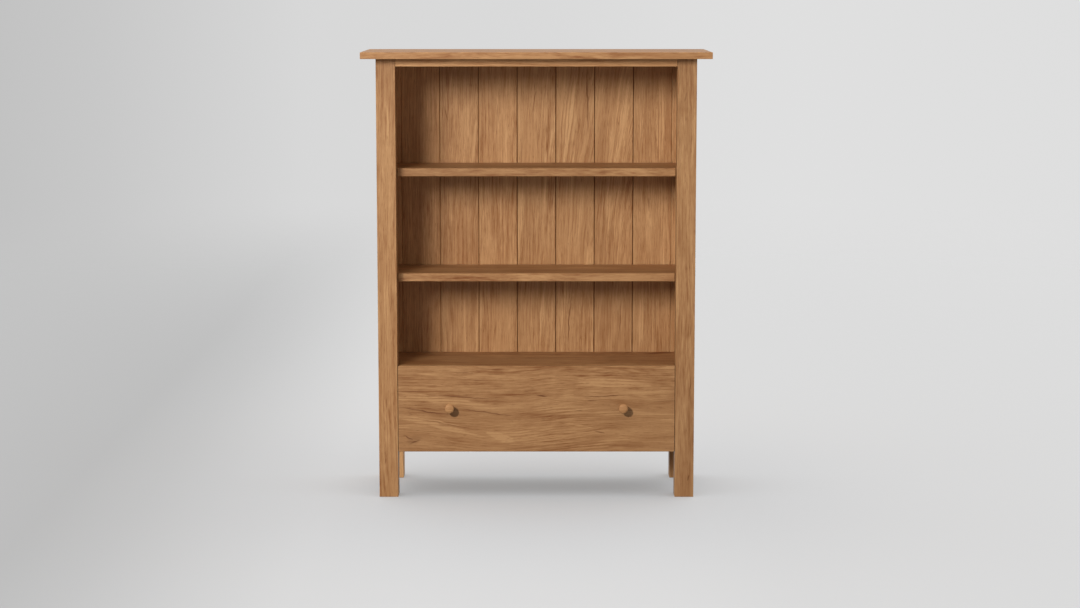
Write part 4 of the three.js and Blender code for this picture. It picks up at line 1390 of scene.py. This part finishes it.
@dataclass
class Studio:
    """The floor, the lights and the camera.

    Attributes:
        floor_half: Half the floor's side.
        camera: Where the camera stands.
        pitch: How far it looks down, in degrees.
        lens: Its focal length in millimetres, on a sensor 36 mm wide.
        key_place: Where the key light stands.
        key_target: The place that it is turned to.
        key_power: Its power in watts.
        key_width: The width of its round face.
        near_place: Where the light stands that takes its place on the drawer front and knobs.
        near_power: That light's power in watts.
        near_width: The width of its face.
        key_spread: How far each light spreads, in degrees.
        sky_low: The fill light's level at the horizon.
        sky_high: Its level overhead.
        sky_rise: The heights on the dome between which it rises.
        sky_behind: What is added to it behind the bookcase.
        behind_rise: The depths between which that comes in.
        sky_aside: What is added to it at either side.
        aside_rise: The widths between which that comes in.
        fade_start: How far from the bookcase the floor starts to fade into the backdrop.
        fade_end: Where it has faded.
        floor_bounce: The share of the light that the floor gives back to the bookcase.
        tones: The backdrop's level at each place across the view, as a share of the distance.
        floor_tones: The floor's level at each place across it, in metres.
        glow: The share of the floor's level that a shadow leaves.
        lit_gain: What the floor's level is multiplied by, to come out as written under the soft light.
        cool: How much the floor is cooled under the case, to even out the warm light off the wood.
        cool_reach: The distances between which that fades away.
    """

    floor_half: float = 60.0
    camera: tuple[float, float, float] = (0.0098, -6.36, 1.38525)
    pitch: float = 7.763
    lens: float = 76.92
    key_place: tuple[float, float, float] = (-2.95, -6.65, 3.3)
    key_target: tuple[float, float, float] = (-0.4, -0.13, 1.2)
    key_power: float = 53.5
    key_width: float = 2.8
    near_place: tuple[float, float, float] = (-3.3, -6.2, 3.75)
    near_power: float = 68.0
    near_width: float = 0.7
    key_spread: float = 58.0
    sky_low: float = 0.2
    sky_high: float = 1.3
    sky_rise: tuple[float, float] = (0.3, 1.0)
    sky_behind: float = 0.25
    behind_rise: tuple[float, float] = (0.0, 0.8)
    sky_aside: float = 0.45
    aside_rise: tuple[float, float] = (0.55, 0.95)
    fade_start: float = 1.6
    fade_end: float = 9.0
    floor_bounce: float = 0.34
    tones: tuple[tuple[float, float], ...] = (
        (-1.2, 0.68), (-0.5, 0.54), (-0.235, 0.54), (-0.19, 0.575), (-0.145, 0.63),
        (-0.1, 0.685), (0.0, 0.7), (0.06, 0.73), (0.11, 0.74), (0.23, 0.735), (1.2, 0.7),
    )
    floor_tones: tuple[tuple[float, float], ...] = (
        (-6.0, 0.68), (-2.4, 0.52), (-1.3, 0.49), (-1.07, 0.54), (-0.82, 0.615), (-0.58, 0.68),
        (-0.3, 0.7), (0.3, 0.7), (0.6, 0.68), (1.3, 0.675), (6.0, 0.7),
    )
    glow: float = 0.34
    lit_gain: float = 0.76
    cool: float = 0.012
    cool_reach: tuple[float, float] = (0.4, 1.3)

    def build(self) -> None:
        """Builds the studio and sets the view transform."""
        scene = bpy.context.scene
        scene.view_settings.view_transform = "Standard"
        self._camera(scene)
        self._world(scene)
        self._floor()
        log.info("set the camera, floor and soft light")

    def _camera(self, scene: bpy.types.Scene) -> None:
        """Sets the camera where the photograph was taken."""
        data = bpy.data.cameras.new("camera")
        data.lens = self.lens
        data.sensor_width = 36.0
        data.clip_end = 3 * self.floor_half
        camera = bpy.data.objects.new("camera", data)
        camera.location = self.camera
        camera.rotation_euler = (math.radians(90 - self.pitch), 0.0, 0.0)
        scene.collection.objects.link(camera)
        scene.camera = camera

    def _toned(
        self, graph: Graph, place: object, tones: tuple[tuple[float, float], ...]
    ) -> bpy.types.NodeSocket:
        """A level that changes from place to place.

        Args:
            graph: The tree that it is worked out in.
            place: The place.
            tones: Pairs of a place and the level there.

        Returns:
            The level.
        """
        first, last = tones[0][0], tones[-1][0]
        share = graph.math("DIVIDE", graph.math("SUBTRACT", place, first), last - first)
        return graph.ramp(share, [((spot - first) / (last - first), level) for spot, level in tones])

    def _seen(self, tree: bpy.types.NodeTree, graph: Graph) -> bpy.types.NodeSocket:
        """Gives 1 on rays from the camera and on rays off or through a gloss, and 0 on the rest."""
        path = tree.nodes.new("ShaderNodeLightPath").outputs
        seen = graph.math("MAXIMUM", path["Is Camera Ray"], path["Is Glossy Ray"])
        return graph.math("MAXIMUM", seen, path["Is Transmission Ray"])

    def _world(self, scene: bpy.types.Scene) -> None:
        """Makes a soft dome of light, with the plain backdrop where the camera or a gloss sees it."""
        world = bpy.data.worlds.new("studio")
        world.use_nodes = True
        scene.world = world
        tree = world.node_tree
        tree.nodes.clear()
        graph = Graph(tree)
        x, y, z = graph.split(tree.nodes.new("ShaderNodeTexCoord").outputs["Generated"])
        sky = graph.between(z, *self.sky_rise, self.sky_low, self.sky_high)
        sky = graph.math("ADD", sky, graph.between(y, *self.behind_rise, 0.0, self.sky_behind))
        sideways = graph.math("ABSOLUTE", x)
        sky = graph.math("ADD", sky, graph.between(sideways, *self.aside_rise, 0.0, self.sky_aside))
        aside = graph.math("DIVIDE", x, graph.math("MAXIMUM", graph.math("ABSOLUTE", y), 0.1))
        backdrop = self._toned(graph, aside, self.tones)
        strength = graph.mix(self._seen(tree, graph), sky, backdrop)
        background = tree.nodes.new("ShaderNodeBackground")
        tree.links.new(strength, background.inputs["Color"])
        out = tree.nodes.new("ShaderNodeOutputWorld")
        tree.links.new(background.outputs[0], out.inputs["Surface"])

    def _floor(self) -> None:
        """Makes the pale floor, which fades into the backdrop far from the bookcase."""
        mesh = bmesh.new()
        bmesh.ops.create_grid(mesh, x_segments=1, y_segments=1, size=self.floor_half)
        data = bpy.data.meshes.new("floor")
        mesh.to_mesh(data)
        mesh.free()
        floor = bpy.data.objects.new("floor", data)
        bpy.context.scene.collection.objects.link(floor)
        material = bpy.data.materials.new("pale_floor")
        material.use_nodes = True
        tree = material.node_tree
        tree.nodes.clear()
        graph = Graph(tree)
        x, y, _ = graph.split(tree.nodes.new("ShaderNodeTexCoord").outputs["Object"])
        tone = self._toned(graph, x, self.floor_tones)
        seen = self._seen(tree, graph)
        out_from_middle = graph.vector("LENGTH", graph.join(x, y, 0.0))
        under = graph.between(out_from_middle, *self.cool_reach, self.cool, 0.0)
        grey = graph.join(
            graph.math("MULTIPLY_ADD", under, graph.math("MULTIPLY", tone, -1.0), tone), tone,
            graph.math("MULTIPLY_ADD", under, tone, tone),
        )
        lit = tree.nodes.new("ShaderNodeBsdfDiffuse")
        bounce = (self.floor_bounce, self.floor_bounce, self.floor_bounce, 1.0)
        shown = graph.vector("MULTIPLY", grey, [self.lit_gain] * 3)
        tree.links.new(graph.mix(seen, bounce, shown), lit.inputs["Color"])
        glowing = tree.nodes.new("ShaderNodeEmission")
        tree.links.new(grey, glowing.inputs["Color"])
        tree.links.new(graph.math("MULTIPLY", seen, self.glow), glowing.inputs["Strength"])
        both = tree.nodes.new("ShaderNodeAddShader")
        tree.links.new(lit.outputs[0], both.inputs[0])
        tree.links.new(glowing.outputs[0], both.inputs[1])
        faded = graph.math("MULTIPLY", seen, graph.between(out_from_middle, self.fade_start, self.fade_end))
        mixed = tree.nodes.new("ShaderNodeMixShader")
        tree.links.new(faded, mixed.inputs[0])
        tree.links.new(both.outputs[0], mixed.inputs[1])
        tree.links.new(tree.nodes.new("ShaderNodeBsdfTransparent").outputs[0], mixed.inputs[2])
        out = tree.nodes.new("ShaderNodeOutputMaterial")
        tree.links.new(mixed.outputs[0], out.inputs["Surface"])
        data.materials.append(material)

    def add_key_lights(self, drawer_front: list[str]) -> None:
        """Makes the wide key light, and the narrow one in its place that lights the drawer front alone.

        Args:
            drawer_front: The pieces of the drawer front.
        """
        pieces = [bpy.data.objects[name] for name in drawer_front]
        key = self._key_light("key_light", self.key_place, self.key_power, self.key_width)
        self._link(key, [bpy.data.objects["floor"], *pieces], "EXCLUDE")
        near = self._key_light("near_key_light", self.near_place, self.near_power, self.near_width)
        self._link(near, pieces, "INCLUDE")
        log.info("set the key lights")

    def _key_light(
        self, name: str, place: tuple[float, float, float], power: float, width: float
    ) -> bpy.types.Object:
        """Makes a round key light.

        Args:
            name: The light's name.
            place: Where it stands.
            power: Its power in watts.
            width: The width of its face.

        Returns:
            The light.
        """
        data = bpy.data.lights.new(name, "AREA")
        data.shape = "DISK"
        data.size = width
        data.energy = power
        data.spread = math.radians(self.key_spread)
        light = bpy.data.objects.new(name, data)
        light.location = place
        way = Vector(self.key_target) - Vector(place)
        light.rotation_euler = way.to_track_quat("-Z", "Y").to_euler()
        light.visible_camera = False
        bpy.context.scene.collection.objects.link(light)
        return light

    def _link(self, light: bpy.types.Object, pieces: list[bpy.types.Object], state: str) -> None:
        """Sets which pieces a light shines on.

        Args:
            light: The light.
            pieces: The pieces.
            state: INCLUDE to light only them, or EXCLUDE to leave them out.
        """
        group = bpy.data.collections.new(f"pieces_for_{light.name}")
        for piece in pieces:
            group.objects.link(piece)
        light.light_linking.receiver_collection = group
        for member in group.collection_objects:
            member.light_linking.link_state = state


def main() -> None:
    """Builds the studio and the bookcase in order."""
    logging.basicConfig(level=logging.INFO, format="%(name)s: %(message)s")
    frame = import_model()
    studio = Studio()
    studio.build()
    for part in (Carcass(), Shelving(), Drawer(), Slides()):
        part.build(frame["nodes"])
    studio.add_key_lights(["drawer_front_eased", "left_knob_turned", "right_knob_turned"])


if __name__ == "__main__":
    main()
